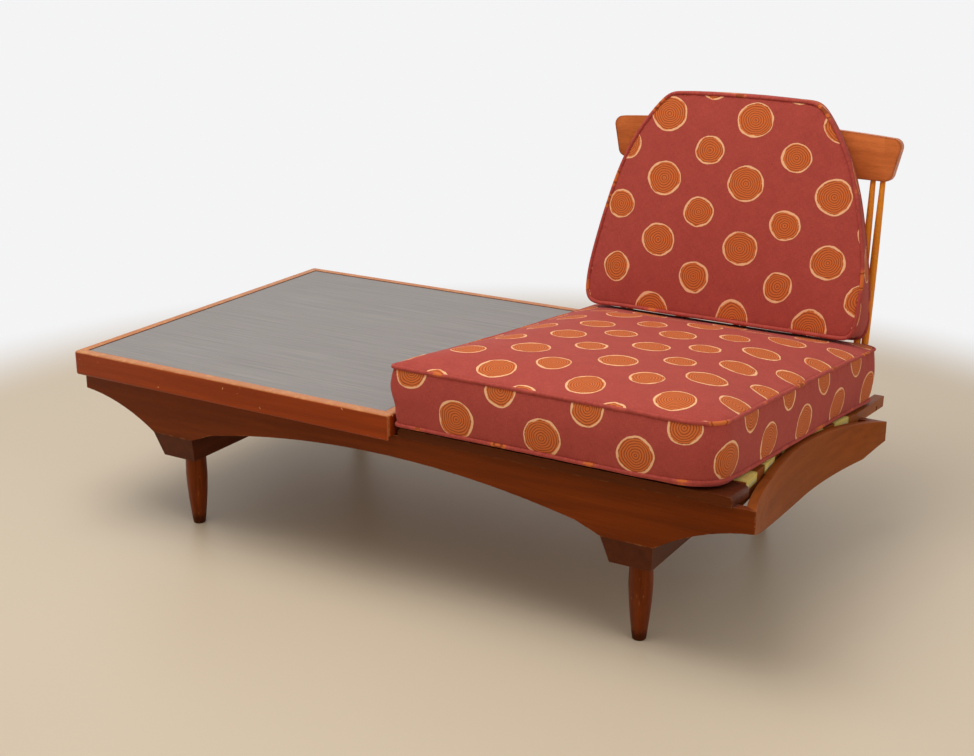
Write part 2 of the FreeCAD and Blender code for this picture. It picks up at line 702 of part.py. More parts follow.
def sewn_outline(knots, scale, z):
    # A closed outline through knots; each stretch swells out by the amount that its first knot names
    edges = []
    for (x, y, bulge), (next_x, next_y, _) in zip(knots, knots[1:] + knots[:1]):
        start = Vector(scale * x, scale * y, z)
        end = Vector(scale * next_x, scale * next_y, z)
        if bulge:
            outward = Vector(end.y - start.y, start.x - end.x, 0)
            outward.normalize()
            edges.append(arc(start, (start + end) / 2 + outward * scale * bulge, end))
        else:
            edges.append(line(start, end))
    return Part.Wire(edges)


def seat_outline(scale, z):
    # Slightly drawn-in sides, and a right side that runs outwards to the rear
    a = (seat_cushion_right - seat_cushion_left) / 2
    b = seat_cushion_depth / 2
    rear = a + seat_cushion_flare
    front_r = seat_cushion_front_corner
    rear_r = seat_cushion_corner
    left_r = seat_cushion_table_corner
    pull = -seat_cushion_pull
    return sewn_outline([
        (a, front_r - b, pull), (rear, b - rear_r, quarter_round(rear_r)),
        (rear - rear_r, b, pull), (left_r - a, b, quarter_round(left_r)),
        (-a, b - left_r, pull), (-a, left_r - b, quarter_round(left_r)),
        (left_r - a, -b, pull), (a - front_r, -b, quarter_round(front_r)),
    ], scale, z)


def back_outline(scale, z):
    # Wide below, with sides that lean in more and more to a narrow top; drawn about the cushion's middle
    half = back_cushion_height / 2
    c = back_cushion_bottom_corner
    low = board_half_length - back_cushion_bottom_inset
    shoulder = board_half_length - back_cushion_shoulder_inset
    shoulder_y = back_cushion_shoulder_height - half
    top = board_half_length - back_cushion_top_inset
    top_flat = top - back_cushion_top_corner_run
    top_y = half - back_cushion_top_corner_drop
    swell = back_cushion_side_bulge
    turn = back_cushion_top_corner_bulge
    round_off = quarter_round(c)
    return sewn_outline([
        (low - c, -half, round_off), (low, c - half, swell), (shoulder, shoulder_y, swell), (top, top_y, turn),
        (top_flat, half, back_cushion_top_rise), (-top_flat, half, turn), (-top, top_y, swell),
        (-shoulder, shoulder_y, swell), (-low, c - half, round_off), (c - low, -half, 0),
    ], scale, z)


def crown(outline, start, height):
    sections = [outline(1, start)]
    for inset, rise in zip(crown_inset_shares, crown_height_shares):
        sections.append(outline(1 - inset, start + rise * height))
    return Part.makeLoft(sections, True, False)


def boxing(sections):
    # The band between two sewn edges, swollen in the middle
    return Part.makeLoft(sections, True, False)


def lean_back(shape, degrees):
    # Turns a shape of the back cushion about its lower edge
    turned = shape.copy()
    turned.rotate(Vector(0, -back_cushion_height / 2, back_cushion_boxing), Vector(1, 0, 0), -degrees)
    return turned


def bring_near(shape, target, direction, clearance):
    # Moves a shape towards another until it is one clearance away
    gap = shape.distToShape(target)[0] - clearance
    while gap > clearance / 5:
        shape.translate(direction * gap)
        gap = shape.distToShape(target)[0] - clearance


def add_cushions():
    bottom = 0.0
    lower_edge = seat_cushion_edge_rise
    upper_edge = lower_edge + seat_cushion_boxing
    underside = Part.makeLoft([seat_outline(1 - underside_inset_share, bottom), seat_outline(1, lower_edge)],
                              True, True)
    band = boxing([seat_outline(1, lower_edge), seat_outline(1 + puff_share, (lower_edge + upper_edge) / 2),
                   seat_outline(1, upper_edge)])
    seat = underside.fuse([band, crown(seat_outline, upper_edge, seat_cushion_crown)])
    seat.translate(Vector((seat_cushion_left + seat_cushion_right) / 2,
                          seat_cushion_depth / 2 - base_half_depth - seat_cushion_overhang,
                          front_height + board_thickness + seat_cushion_rest))
    seat = lay_on_slope(seat)

    # Its front face leans back more than its rear face, so it is thinner at the top
    front_edge = lean_back(back_outline(1, back_cushion_boxing), back_cushion_taper)
    middle_edge = lean_back(back_outline(1 + puff_share, back_cushion_boxing / 2), back_cushion_taper / 2)
    front = lean_back(crown(back_outline, back_cushion_boxing, back_cushion_crown), back_cushion_taper)
    back = boxing([back_outline(1, 0), middle_edge, front_edge])
    back = back.fuse([front, crown(back_outline, 0, -back_cushion_crown)])
    back.rotate(Vector(0, 0, 0), Vector(1, 0, 0), math.degrees(math.pi / 2) - back_cushion_recline)
    # Start well clear, then lower it onto the seat cushion and push it against the crest
    clear = seat.BoundBox.ZMax + back_cushion_height
    back.translate(Vector(seat_middle - back_cushion_shift, 0, clear))
    spindles = [nodes["spindle_pair_" + str(i + 1)] for i in range(spindle_pair_count)]
    frame = group([nodes["crest_rail"]] + spindles)
    back.translate(Vector(0, back_cushion_height / 2, 0))
    bring_near(back, seat, Vector(0, 0, -1), back_cushion_rest)
    # Lowering also closes the gap to the leaning crest, so it comes near in shorter steps
    for reach in (8, 2, 1):
        bring_near(back, frame, Vector(0, 1, 0), reach * back_cushion_rest)
        bring_near(back, seat, Vector(0, 0, -1), back_cushion_rest)
    nodes["seat_cushion"] = seat
    nodes["back_cushion"] = back


add_base()
add_table()
add_seat_frame()
add_cushions()

middle = group(list(nodes.values())).BoundBox.Center
offset = Vector(-middle.x, -middle.y, 0)
os.makedirs("parts", exist_ok=True)
for name, shape in nodes.items():
    shape.translate(offset)
    shape.exportStep("parts/" + name + ".step")
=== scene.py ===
import math
from functools import partialmethod

import bmesh
import bpy
import numpy as np
from bpy.props import FloatProperty, FloatVectorProperty, IntProperty, PointerProperty
from mathutils import Matrix, Vector, noise
from mathutils.bvhtree import BVHTree
from mathutils.kdtree import KDTree


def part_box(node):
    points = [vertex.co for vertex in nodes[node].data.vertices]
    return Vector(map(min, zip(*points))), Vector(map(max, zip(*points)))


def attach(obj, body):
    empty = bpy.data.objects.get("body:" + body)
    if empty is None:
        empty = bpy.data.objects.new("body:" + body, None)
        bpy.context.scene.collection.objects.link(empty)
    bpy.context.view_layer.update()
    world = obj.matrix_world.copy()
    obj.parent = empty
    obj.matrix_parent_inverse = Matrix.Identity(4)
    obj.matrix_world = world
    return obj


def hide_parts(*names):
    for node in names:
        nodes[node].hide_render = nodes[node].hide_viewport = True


bl_info = {
    "name": "Modular Bench",
    "version": (1, 0, 0),
    "blender": (4, 5, 0),
    "location": "3D View > Sidebar > Bench",
    "description": "Finishes the bench's woods and makes its webbing and its two cushions",
    "category": "Object",
}

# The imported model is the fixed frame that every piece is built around
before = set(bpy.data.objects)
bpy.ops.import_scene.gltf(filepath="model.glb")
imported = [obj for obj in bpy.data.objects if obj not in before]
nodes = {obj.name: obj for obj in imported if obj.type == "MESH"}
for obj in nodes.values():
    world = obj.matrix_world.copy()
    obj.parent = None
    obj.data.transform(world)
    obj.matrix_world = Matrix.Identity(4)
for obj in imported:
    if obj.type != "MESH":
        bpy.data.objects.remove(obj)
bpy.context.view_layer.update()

STRAP_COUNT = 5
SPINDLE_PAIR_COUNT = 5

# How the cushions' solids are cut in the frame, in metres
SEAT_BOXING = 0.103             # between the two sewn edges
SEAT_EDGE_RISE = 0.0065         # underside to the lower sewn edge
BACK_BOXING = 0.078
BACK_CROWN = 0.012
BACK_RECLINE = math.radians(6.7)
BACK_TAPER = math.radians(4.3)  # how much more the front face leans back than the rear one
BACK_SOFTENING = 10             # rounds that ease the corners of its sewn edges
BOXING_SWELL = 0.012            # how far a boxing swells beyond its sewn edges, as a share
CROWN_SHARES = (0.0, 0.01, 0.025, 0.05, 0.09, 0.15, 0.24, 0.36, 0.50, 0.75)

# How the cushions have settled in use. A reach is how far in X and Y a change goes
CORNER_SWELL = 0.012            # seat's front left corner, out over the table's edge
SWELL_REACH = (0.13, 0.22)
SWELL_START, SWELL_RISE = 0.030, 0.045  # above the lower sewn edge, and over what height
SEAM_DRAW = 0.007               # seat's lower sewn edge, up by the front right corner
SEAM_REACH = (0.12, 0.10)
CROWN_PRESS = 0.45              # share of the seat's crown that the back cushion presses down
PRESS_START, PRESS_RUN = 0.24, 0.15     # before the rear sewn edge, and over what length
FRONT_WIDENING = 0.0135         # back cushion's front face beyond the rear one, on each side
WIDENING_RUN = 0.2              # from the middle to where it is full
CORNER_NARROWING = 0.004        # less of it by the lower right corner
CORNER_HEIGHT = 0.16
TOP_RISE, TOP_HEIGHT = 0.003, 0.4       # stretch of the back cushion, and the height it takes
BACK_REST = 0.0009              # between the back cushion's lower edge and the seat
BACK_LIFT, BACK_DROP = 0.006, 0.026     # the furthest that this edge gives, up and down
BACK_EASE = 0.085               # height over which the lower edge gives
SINK_WIDTH = 0.45               # half the lower edge, as a share of the cushion's width
SINK_ROWS, SINK_STOPS = 5, 41   # from rear to front, and from left to right

# The small folds along a sewn edge
FOLD_REACH = 0.045              # beyond it the cloth is smooth
FOLD_FADE = 0.016
FOLD_START = 0.006              # the seam itself stays straight
SAG, SAG_REACH = 0.0016, 0.05

RING_SPACING = 0.006            # between points along a sewn edge
PIPING_CUT, PIPING_CUT_WIDTH = 0.0924, 0.0010   # where in the cloth the piping's strip is cut
STRAP_THICKNESS = 0.0018
STRAP_BEND = 0.003              # height of the bend at a rail's outer arris
LACQUER_TINT = (1.0, 0.34, 0.10)

# What each stain covers, and its lighter and darker streaks as they show on a screen
STAINS = {
    "base": ("the base's stained wood", (128, 53, 13), (84, 32, 7)),
    "end": ("the base's end rails", (156, 80, 27), (118, 55, 16)),
    "band": ("the table's edge bands", (164, 62, 13), (122, 40, 6)),
    "leg": ("the turned legs", (124, 52, 18), (80, 31, 10)),
    "beam": ("the leg beams", (94, 39, 15), (62, 25, 9)),
    "seat_rail": ("the seat's rails", (160, 84, 30), (120, 58, 18)),
    "board": ("the seat's front board", (94, 40, 13), (57, 23, 8)),
    "crest": ("the crest rail", (218, 122, 64), (166, 82, 40)),
    "spindle": ("the spindles", (246, 156, 50), (210, 118, 34)),
    "pale": ("unstained wood out of sight", (214, 184, 140), (176, 138, 94)),
}


def tone(red, green, blue):
    """A colour as it shows on a screen, 0 to 255, in the numbers that a material takes."""
    parts = [part / 255 for part in (red, green, blue)]
    return tuple(part / 12.92 if part <= 0.04045 else ((part + 0.055) / 1.055) ** 2.4
                 for part in parts)


def colour_property(name, description, default):
    return FloatVectorProperty(name=name, description=description, subtype="COLOR", size=3,
                               min=0.0, max=1.0, default=default)


def number_property(name, description, default, **kind):
    return FloatProperty(name=name, description=description, default=default, min=0.0, **kind)


def length_property(name, description, default):
    return number_property(name, description, default, subtype="DISTANCE", unit="LENGTH",
                           precision=4)


class BenchWoodSettings(bpy.types.PropertyGroup):
    """Colours and wear of the woods"""
    # On the table's bands this colour also paints a highlight along the arrises and a sheen on the
    # upward faces.
    worn: colour_property("Worn arris", "Where a stained edge is rubbed pale", tone(222, 160, 106))
    crest_arris: colour_property("Crest arris", "The crest rail's dark edges", tone(92, 42, 20))
    arris: length_property("Eased arris", "How far the wood's sharp edges are rounded", 0.0016)


for stain, (covered, *shades) in STAINS.items():
    for streak, shade in zip(("light", "dark"), shades):
        BenchWoodSettings.__annotations__[stain + "_" + streak] = colour_property(
            (stain.replace("_", " ") + " " + streak).capitalize(),
            ("Lighter" if streak == "light" else "Darker") + " streaks of " + covered, tone(*shade))


class BenchClothSettings(bpy.types.PropertyGroup):
    """Colours and layout of the cushions' woven cloth, its piping and the webbing"""
    ground: colour_property("Ground", "The cloth between the discs", tone(182, 76, 63))
    ground_dark: colour_property("Ground dark", "Darker threads between them", tone(152, 58, 49))
    disc: colour_property("Disc", "The filling of a disc", tone(212, 108, 50))
    ring: colour_property("Ring", "The thin rings inside a disc", tone(140, 60, 26))
    rim: colour_property("Rim", "The pale outline of a disc", tone(245, 185, 135))
    webbing: colour_property("Webbing", "The seat's cotton webbing", tone(255, 226, 124))
    column_pitch: length_property("Column pitch", "Between like discs, across the cloth", 0.170)
    row_pitch: length_property("Row pitch", "Between like discs, along the cloth", 0.128)
    large_radius: length_property("Large radius", "Radius of the large discs", 0.0355)
    small_radius: length_property("Small radius", "Radius of the small discs", 0.0300)
    rim_width: length_property("Rim width", "Width of a disc's outline", 0.0028)
    ring_pitch: length_property("Ring pitch", "Between two rings of a disc", 0.0044)


class BenchCushionSettings(bpy.types.PropertyGroup):
    """How the cushions are sewn and filled"""
    piping_diameter: length_property("Piping", "Diameter of the piping", 0.0075)
    remesh_size: length_property("Cloth spacing", "Between points of the filled cloth", 0.0070)
    start_share: number_property("Start", "Crown before filling, as a share of the finished one",
                                 0.72, subtype="FACTOR", max=1.0)
    pressure: number_property("Pressure", "Pressure of the filling", 4.0)
    steps: IntProperty(name="Steps", description="Frames that it takes", min=2, default=20)
    swell: length_property("Swell", "The furthest that the filling moves the cloth", 0.026)
    pucker: length_property("Pucker", "Depth of the small folds along a sewn edge", 0.0016)


class BenchStageSettings(bpy.types.PropertyGroup):
    """Floor, light and camera"""
    floor: colour_property("Floor", "Colour of the floor near the bench", tone(212, 194, 168))
    wall: colour_property("Wall", "Colour of the room behind the bench", tone(244, 244, 245))
    sky: number_property("Room light", "Strength of the room's even light", 0.46)
    key: number_property("Key light", "Power of the soft light overhead", 60.0, unit="POWER")
    fill: number_property("Fill light", "Power of the light on the right", 12.0, unit="POWER")
    camera_place: FloatVectorProperty(
        name="Camera", description="Where the camera stands", size=3,
        subtype="TRANSLATION", unit="LENGTH", default=(1.513, -2.56984, 1.266))
    camera_turn: FloatVectorProperty(
        name="Camera turn", description="How the camera is turned", size=3,
        subtype="EULER", unit="ROTATION", default=(math.radians(71.88), 0.0, math.radians(30.83)))
    lens: number_property("Lens", "Focal length of the camera", 57.45, unit="CAMERA")


class Value:
    """A number in a finish. Sums and products on it add the nodes that work them out."""

    def __init__(self, finish, socket):
        self.finish = finish
        self.socket = socket

    def math(self, operation, *others):
        return self.finish.number(operation, self, *others)

    __add__ = __radd__ = partialmethod(math, "ADD")
    __sub__ = partialmethod(math, "SUBTRACT")
    __mul__ = __rmul__ = partialmethod(math, "MULTIPLY")
    __truediv__ = partialmethod(math, "DIVIDE")
    floor = partialmethod(math, "FLOOR")
    sine = partialmethod(math, "SINE")
    root = partialmethod(math, "SQRT")
    absolute = partialmethod(math, "ABSOLUTE")
    at_least = partialmethod(math, "MAXIMUM")
    at_most = partialmethod(math, "MINIMUM")

    def __rsub__(self, other):
        return self.finish.number("SUBTRACT", other, self)

    def rise(self, low, high):
        """From 0 below low to 1 above high, smoothly."""
        return self.finish.value("ShaderNodeMapRange", {"interpolation_type": "SMOOTHSTEP"},
                                 {"Value": self, "From Min": low, "From Max": high})


class Finish:
    """A material, or the room's world, and the nodes that it is made of."""

    def __init__(self, name, kind="materials"):
        self.block = getattr(bpy.data, kind).new(name)
        self.block.use_nodes = True
        self.tree = self.block.node_tree
        self.tree.nodes.clear()

    def node(self, kind, settings=None, sockets=None):
        """Adds a node: its type, then its settings, then its sockets' values or links."""
        made = self.tree.nodes.new(kind)
        for name, value in (settings or {}).items():
            setattr(made, name, value)
        for name, value in (sockets or {}).items():
            if isinstance(value, Value):
                self.tree.links.new(value.socket, made.inputs[name])
            elif isinstance(value, bpy.types.NodeSocket):
                self.tree.links.new(value, made.inputs[name])
            elif made.inputs[name].type == "RGBA":
                made.inputs[name].default_value = (*value, 1.0)
            else:
                made.inputs[name].default_value = value
        return made

    def value(self, kind, settings=None, sockets=None, output=0):
        return Value(self, self.node(kind, settings, sockets).outputs[output])

    def number(self, operation, *parts):
        return self.value("ShaderNodeMath", {"operation": operation}, dict(enumerate(parts)))

    def vector(self, operation, *parts):
        made = self.node("ShaderNodeVectorMath", {"operation": operation}, dict(enumerate(parts)))
        return made.outputs["Vector"]

    def measure(self, operation, *parts):
        """A number worked out from vectors."""
        return self.value("ShaderNodeVectorMath", {"operation": operation},
                          dict(enumerate(parts)), "Value")

    def mix(self, share, first, second):
        """A colour between two others."""
        return self.node("ShaderNodeMix", {"data_type": "RGBA"},
                         {0: share, 6: first, 7: second}).outputs[2]

    def place(self):
        """Where a point lies in the bench."""
        return self.node("ShaderNodeTexCoord").outputs["Object"]

    def cloth_place(self):
        """Where a point lies in the flat cloth."""
        return self.node("ShaderNodeUVMap", {"uv_map": "cloth"}).outputs["UV"]

    def axes(self, vector):
        """The three numbers of a vector."""
        return [Value(self, part)
                for part in self.node("ShaderNodeSeparateXYZ", {}, {0: vector}).outputs]

    def facing(self):
        return self.node("ShaderNodeNewGeometry").outputs["Normal"]

    def speckle(self, place, size, detail=2.0, roughness=0.5):
        """Soft random numbers from 0 to 1 that change over about one size, in metres."""
        return self.value("ShaderNodeTexNoise", {"noise_dimensions": "3D"},
                          {"Vector": place, "Scale": 1 / size, "Detail": detail,
                           "Roughness": roughness})

    def stretched(self, place, scale):
        return self.vector("MULTIPLY", place, scale)

    def bump(self, height, distance, strength):
        return self.node("ShaderNodeBump", {}, {"Height": height, "Distance": distance,
                                                "Strength": strength}).outputs["Normal"]

    def rubbed(self, reach):
        """From 0 on the flat to 1 on a sharp outer edge."""
        rounded = self.node("ShaderNodeBevel", {"samples": 6}, {"Radius": reach})
        straight = self.measure("DOT_PRODUCT", rounded.outputs["Normal"], self.facing())
        return (1 - straight).rise(0.02, 0.22)

    def seen(self):
        """1 for what the camera sees, also in metal or glass."""
        rays = self.node("ShaderNodeLightPath").outputs
        camera, glossy, clear = (Value(self, rays[name]) for name in (
            "Is Camera Ray", "Is Glossy Ray", "Is Transmission Ray"))
        return camera.at_least(glossy).at_least(clear)

    def surface(self, sockets):
        shader = self.node("ShaderNodeBsdfPrincipled", {}, sockets)
        self.node("ShaderNodeOutputMaterial", {}, {"Surface": shader.outputs[0]})
        return self.block


def across_grain(direction, along):
    """Scales that draw a pattern out along the grain."""
    return tuple(along if axis == direction else 1.0 for axis in "XYZ")


def stained(look, stain):
    """The lighter and the darker colour of a stain."""
    return getattr(look, stain + "_light"), getattr(look, stain + "_dark")


def darker(colour, share):
    return tuple(part * share for part in colour)


def wood(name, grain, colours, roughness, worn=None, wear=0.5, chips=0.0, shine=0.25,
         edge_reach=0.004, even=0.0):
    """Lacquered wood, its grain along X, Y or Z. Its arrises take the worn colour where scuffed,
    which is real wear; at an even of 1 they take it alike all along, which on the table's bands is
    a painted highlight on the rounded arris and on the crest rail gives its dark edges.
    """
    light, dark = colours
    finish = Finish(name)
    place = finish.place()

    def drawn_out(place, along):
        return finish.stretched(place, across_grain(grain, along))

    warp = finish.node("ShaderNodeTexNoise", {}, {"Vector": drawn_out(place, 0.3), "Scale": 9.0,
                                                 "Detail": 1.0}).outputs["Color"]
    bent = finish.vector("ADD", place, finish.stretched(warp, (0.010, 0.010, 0.010)))
    figure = finish.speckle(drawn_out(bent, 0.055), 0.016, 3.0, 0.5)
    fibre = finish.speckle(drawn_out(bent, 0.022), 0.0016, 2.0, 0.6)
    pores = finish.speckle(drawn_out(place, 0.045), 0.0007, 1.0).rise(0.60, 0.72)
    cloud = finish.speckle(drawn_out(place, 0.4), 0.16, 2.0)
    streak = (figure.rise(0.22, 0.78) * 0.55 + fibre.rise(0.20, 0.80) * 0.25
              + cloud.rise(0.30, 0.70) * 0.20)
    colour = finish.mix(streak, dark, light)
    colour = finish.mix(pores * 0.30, colour, darker(dark, 0.5))
    gloss = roughness + fibre * 0.10 + cloud * 0.08
    height = fibre * 0.5 - pores * 0.8
    if worn is not None:
        scuff = finish.speckle(place, 0.018, 4.0, 0.7).rise(0.46, 0.66)
        # At an even share the colour lies alike all along the arrises: on the table's bands a
        # painted highlight, on the crest rail its dark edges. The scuffed share is real wear.
        rub = finish.rubbed(edge_reach) * (scuff * (1 - even) + even) * wear
        if chips:
            # Painted sheen: the upward faces are painted toward the pale worn colour, a painted
            # reflection of the light overhead. Handling leaves dents and chips along the arrises
            painted_top_sheen = finish.axes(finish.facing())[2].rise(0.3, 0.8)
            rub = rub.at_least(painted_top_sheen * (scuff * 0.25 + 0.45))
            chip = finish.speckle(place, 0.0075, 3.0, 0.6).rise(0.63, 0.66) * finish.rubbed(0.009)
            chip = chip.at_least(finish.speckle(place, 0.011, 1.0).rise(0.735, 0.755))
            rub = rub.at_least(chip * chips)
            height = height - chip * 3.0
        colour = finish.mix(rub, colour, worn)
        gloss = gloss + rub * 0.25
    return finish.surface({
        "Base Color": colour, "Roughness": gloss, "Specular IOR Level": shine,
        "Specular Tint": LACQUER_TINT, "Normal": finish.bump(height, 0.00025, 0.6),
    })


def leg_wood(name, colours, worn):
    """Turned leg: grain along Z, rubbed dark and bare at the foot."""
    light, dark = colours
    finish = Finish(name)
    place = finish.place()
    figure = finish.speckle(finish.stretched(place, (1.0, 1.0, 0.06)), 0.011, 4.0, 0.6)
    fibre = finish.speckle(finish.stretched(place, (1.0, 1.0, 0.03)), 0.0016, 2.0, 0.6)
    streak = figure.rise(0.3, 0.7) * 0.6 + fibre.rise(0.25, 0.75) * 0.4
    scuff = finish.speckle(place, 0.010, 4.0, 0.7)
    tip = 1 - (finish.axes(place)[2] + scuff * 0.020).rise(0.020, 0.036)
    scratch = finish.speckle(finish.stretched(place, (1.0, 1.0, 0.25)), 0.006, 3.0)
    scratch = scratch.rise(0.66, 0.72)
    colour = finish.mix(streak, dark, light)
    colour = finish.mix(tip * 0.85, colour, darker(dark, 0.30))
    colour = finish.mix(scratch * 0.12, colour, worn)
    return finish.surface({
        "Base Color": colour, "Roughness": 0.30 + fibre * 0.1 + tip * 0.3,
        "Specular IOR Level": 0.34, "Specular Tint": LACQUER_TINT,
        "Normal": finish.bump(fibre * 0.5 - scratch, 0.00025, 0.6),
    })


def laminate():
    """The table's dark sheet: fine brushed streaks along X and a faint dark line round it, painted
    shade where the sheet sits a little below the bands.
    """
    finish = Finish("dark_laminate")
    place = finish.place()
    streak = finish.speckle(finish.stretched(place, (0.012, 1.0, 1.0)), 0.0026, 4.0, 0.6)
    smudge = finish.speckle(place, 0.19, 4.0, 0.6)
    rub = finish.speckle(finish.stretched(place, (0.05, 1.0, 1.0)), 0.0011, 2.0)
    colour = finish.mix(streak.rise(0.25, 0.75), tone(112, 105, 100), tone(138, 130, 124))
    colour = finish.mix(rub.rise(0.60, 0.76) * 0.30, colour, tone(158, 150, 144))
    low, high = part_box("table_sheet")
    x, y, _ = finish.axes(place)
    inside = (x - low.x).at_most(high.x - x).at_most((y - low.y).at_most(high.y - y))
    # Painted shade: a dark line along the sheet's edge, where it sits a little below the bands
    colour = finish.mix(1 - inside.rise(0.0015, 0.0035), colour, tone(24, 18, 16))
    return finish.surface({
        "Base Color": colour, "Roughness": 0.36 + smudge * 0.14 + streak * 0.06, "IOR": 1.55,
        "Normal": finish.bump(streak, 0.0002, 0.5),
    })


def dotted_cloth(name, look, rim):
    """Woven cloth with rough discs and thin rings, two sizes in a half-drop layout."""
    finish = Finish(name)
    place = finish.cloth_place()
    x, y, _ = finish.axes(place)
    wobble = (finish.speckle(place, 0.034, 2.0) - 0.5) * 0.0070
    ragged = (finish.speckle(place, 0.0035, 2.0, 0.7) - 0.5) * 0.0022
    drift = (finish.speckle(place, 0.012, 1.0) - 0.5) * 1.5
    layers = []
    for shift, radius in ((0.0, look.large_radius), (0.5, look.small_radius)):
        across = x / look.column_pitch + shift
        along = y / look.row_pitch + shift
        column = across.floor()
        row = along.floor()
        cell = finish.node("ShaderNodeCombineXYZ", {}, {0: column, 1: row, 2: shift}).outputs[0]
        luck = finish.node("ShaderNodeTexWhiteNoise", {"noise_dimensions": "3D"},
                           {"Vector": cell}).outputs
        aside, off = (part - 0.5 for part in finish.axes(luck["Color"])[:2])
        dx = (across - column - 0.5) * look.column_pitch + aside * 0.010
        dy = (along - row - 0.5) * look.row_pitch + off * 0.010
        from_middle = (dx * dx + dy * dy * 1.04).root()
        size = radius * (0.96 + Value(finish, luck["Value"]) * 0.08)
        beyond = from_middle + wobble + ragged * 0.5 - size
        inside = 1 - beyond.rise(-0.0005, 0.0005)
        rim_width = look.rim_width * (
            finish.speckle(place, 0.026, 1.0).rise(0.25, 0.75) * 1.3 + 0.45)
        filled = 1 - (beyond + rim_width + ragged).rise(-0.0006, 0.0006)
        turns = (from_middle + wobble * 1.3) * (math.tau / look.ring_pitch)
        ring = (turns + drift + aside * 5.0).sine().rise(0.1, 0.8) * filled
        layers.append((inside, filled, ring))
    inside, filled, ring = (large + small for large, small in zip(*layers))
    warp = finish.speckle(finish.stretched(place, (1.0, 0.10, 1.0)), 0.0009, 2.0, 0.6)
    weft = finish.speckle(finish.stretched(place, (0.10, 1.0, 1.0)), 0.0009, 2.0, 0.6)
    slub = finish.speckle(place, 0.030, 3.0, 0.6)
    thread = warp * 0.5 + weft * 0.5
    shading = thread.rise(0.30, 0.70) * 0.4
    ground = finish.mix(thread.rise(0.32, 0.68) * 0.8 + slub.rise(0.3, 0.7) * 0.2,
                        look.ground_dark, look.ground)
    filling = finish.mix(shading, look.disc, darker(look.disc, 0.72))
    filling = finish.mix(ring * 0.85, filling, look.ring)
    edging = finish.mix(shading, rim, darker(rim, 0.78))
    colour = finish.mix(inside, ground, edging)
    colour = finish.mix(filled, colour, filling)
    return finish.surface({
        "Base Color": colour, "Roughness": 0.72 + thread * 0.2, "Specular IOR Level": 0.2,
        "Sheen Weight": 0.06, "Sheen Roughness": 0.4,
        "Normal": finish.bump(thread * 0.55 + inside * 0.35 - ring * 0.3, 0.0006, 0.7),
    })


def webbing_cloth(look):
    """Cotton webbing in a herringbone weave."""
    finish = Finish("webbing_cloth")
    place = finish.cloth_place()
    x, y, _ = finish.axes(place)
    stripe = 0.012
    slant = (y / stripe - (y / stripe).floor() - 0.5).absolute() * stripe * 2
    twill = ((x + slant) * (math.tau / 0.0032)).sine().rise(-0.6, 0.8)
    slub = finish.speckle(finish.stretched(place, (0.2, 1.0, 1.0)), 0.004, 3.0)
    colour = finish.mix(twill * 0.6 + slub * 0.4, darker(look.webbing, 0.62), look.webbing)
    stain = finish.speckle(place, 0.05, 3.0).rise(0.55, 0.75)
    colour = finish.mix(stain * 0.25, colour, tone(170, 132, 84))
    return finish.surface({
        "Base Color": colour, "Roughness": 0.9, "Specular IOR Level": 0.2,
        "Normal": finish.bump(twill + slub * 0.5, 0.0004, 0.8),
    })


def steel(name="fixing_steel", light=tone(196, 196, 192), dark=tone(150, 150, 150)):
    """Plain plated fixings."""
    finish = Finish(name)
    dull = finish.speckle(finish.place(), 0.004, 3.0)
    return finish.surface({
        "Base Color": finish.mix(dull, dark, light), "Metallic": 1.0,
        "Roughness": 0.3 + dull * 0.25, "Normal": finish.bump(dull, 0.0001, 0.4),
    })


def modify(piece, name, kind, **settings):
    """Adds a modifier to a piece."""
    made = piece.modifiers.new(name, kind)
    for setting, value in settings.items():
        setattr(made, setting, value)
    return made


def finish_nodes(names, material, arris):
    """Gives parts of the frame their material and eases their sharp edges."""
    for name in names:
        node = nodes[name]
        node.data.materials.clear()
        node.data.materials.append(material)
        modify(node, "joined faces", "WELD", merge_threshold=0.00002)
        if arris:
            modify(node, "whole faces", "DECIMATE", decimate_type="DISSOLVE",
                   angle_limit=math.radians(0.3))
            modify(node, "eased arrises", "BEVEL", width=arris, segments=2,
                   limit_method="ANGLE", angle_limit=math.radians(32),
                   use_clamp_overlap=True, harden_normals=True)


def worked_mesh(piece):
    """A new mesh of a piece with its modifiers worked in."""
    view = bpy.context.evaluated_depsgraph_get()
    return bpy.data.meshes.new_from_object(piece.evaluated_get(view), depsgraph=view)


def work_in(piece):
    """Replaces a piece's mesh by the one that its modifiers make, and removes them."""
    mesh = worked_mesh(piece)
    old = piece.data
    piece.modifiers.clear()
    piece.data = mesh
    bpy.data.meshes.remove(old)


def read(items, what, kind=int):
    """One number of each item, or its three where they are floats."""
    values = np.empty(len(items) * (3 if kind is float else 1), kind)
    items.foreach_get(what, values)
    return values.reshape(-1, 3) if kind is float else values


def points_of(mesh):
    return read(mesh.vertices, "co", float)


def set_points(mesh, points):
    mesh.vertices.foreach_set("co", np.asarray(points, float).ravel())
    mesh.update()


def link(name, data):
    piece = bpy.data.objects.new(name, data)
    bpy.context.scene.collection.objects.link(piece)
    return piece


def smooth_step(values):
    """From 0 to 1 with a soft start and end."""
    share = np.clip(values, 0, 1)
    return share * share * (3 - 2 * share)


def hill(points, middle, reach):
    """1 over a middle in X and Y, and soft to nothing beyond the reach."""
    return np.exp(-(((points[:, :2] - middle) / reach) ** 2).sum(axis=1))


def nearest(points, targets):
    """For each point, which target is nearest and how far it is."""
    tree = KDTree(len(targets))
    for i, target in enumerate(targets):
        tree.insert(target, i)
    tree.balance()
    found = [tree.find(point)[1:] for point in points]
    return [index for index, _ in found], np.array([gap for _, gap in found])


def at_height(ring, height):
    return np.column_stack([ring, np.full(len(ring), height)])


def extent(node, direction):
    """Lowest and highest place of a part of the frame along a direction."""
    reach = points_of(nodes[node].data) @ np.array(direction)
    return reach.min(), reach.max()


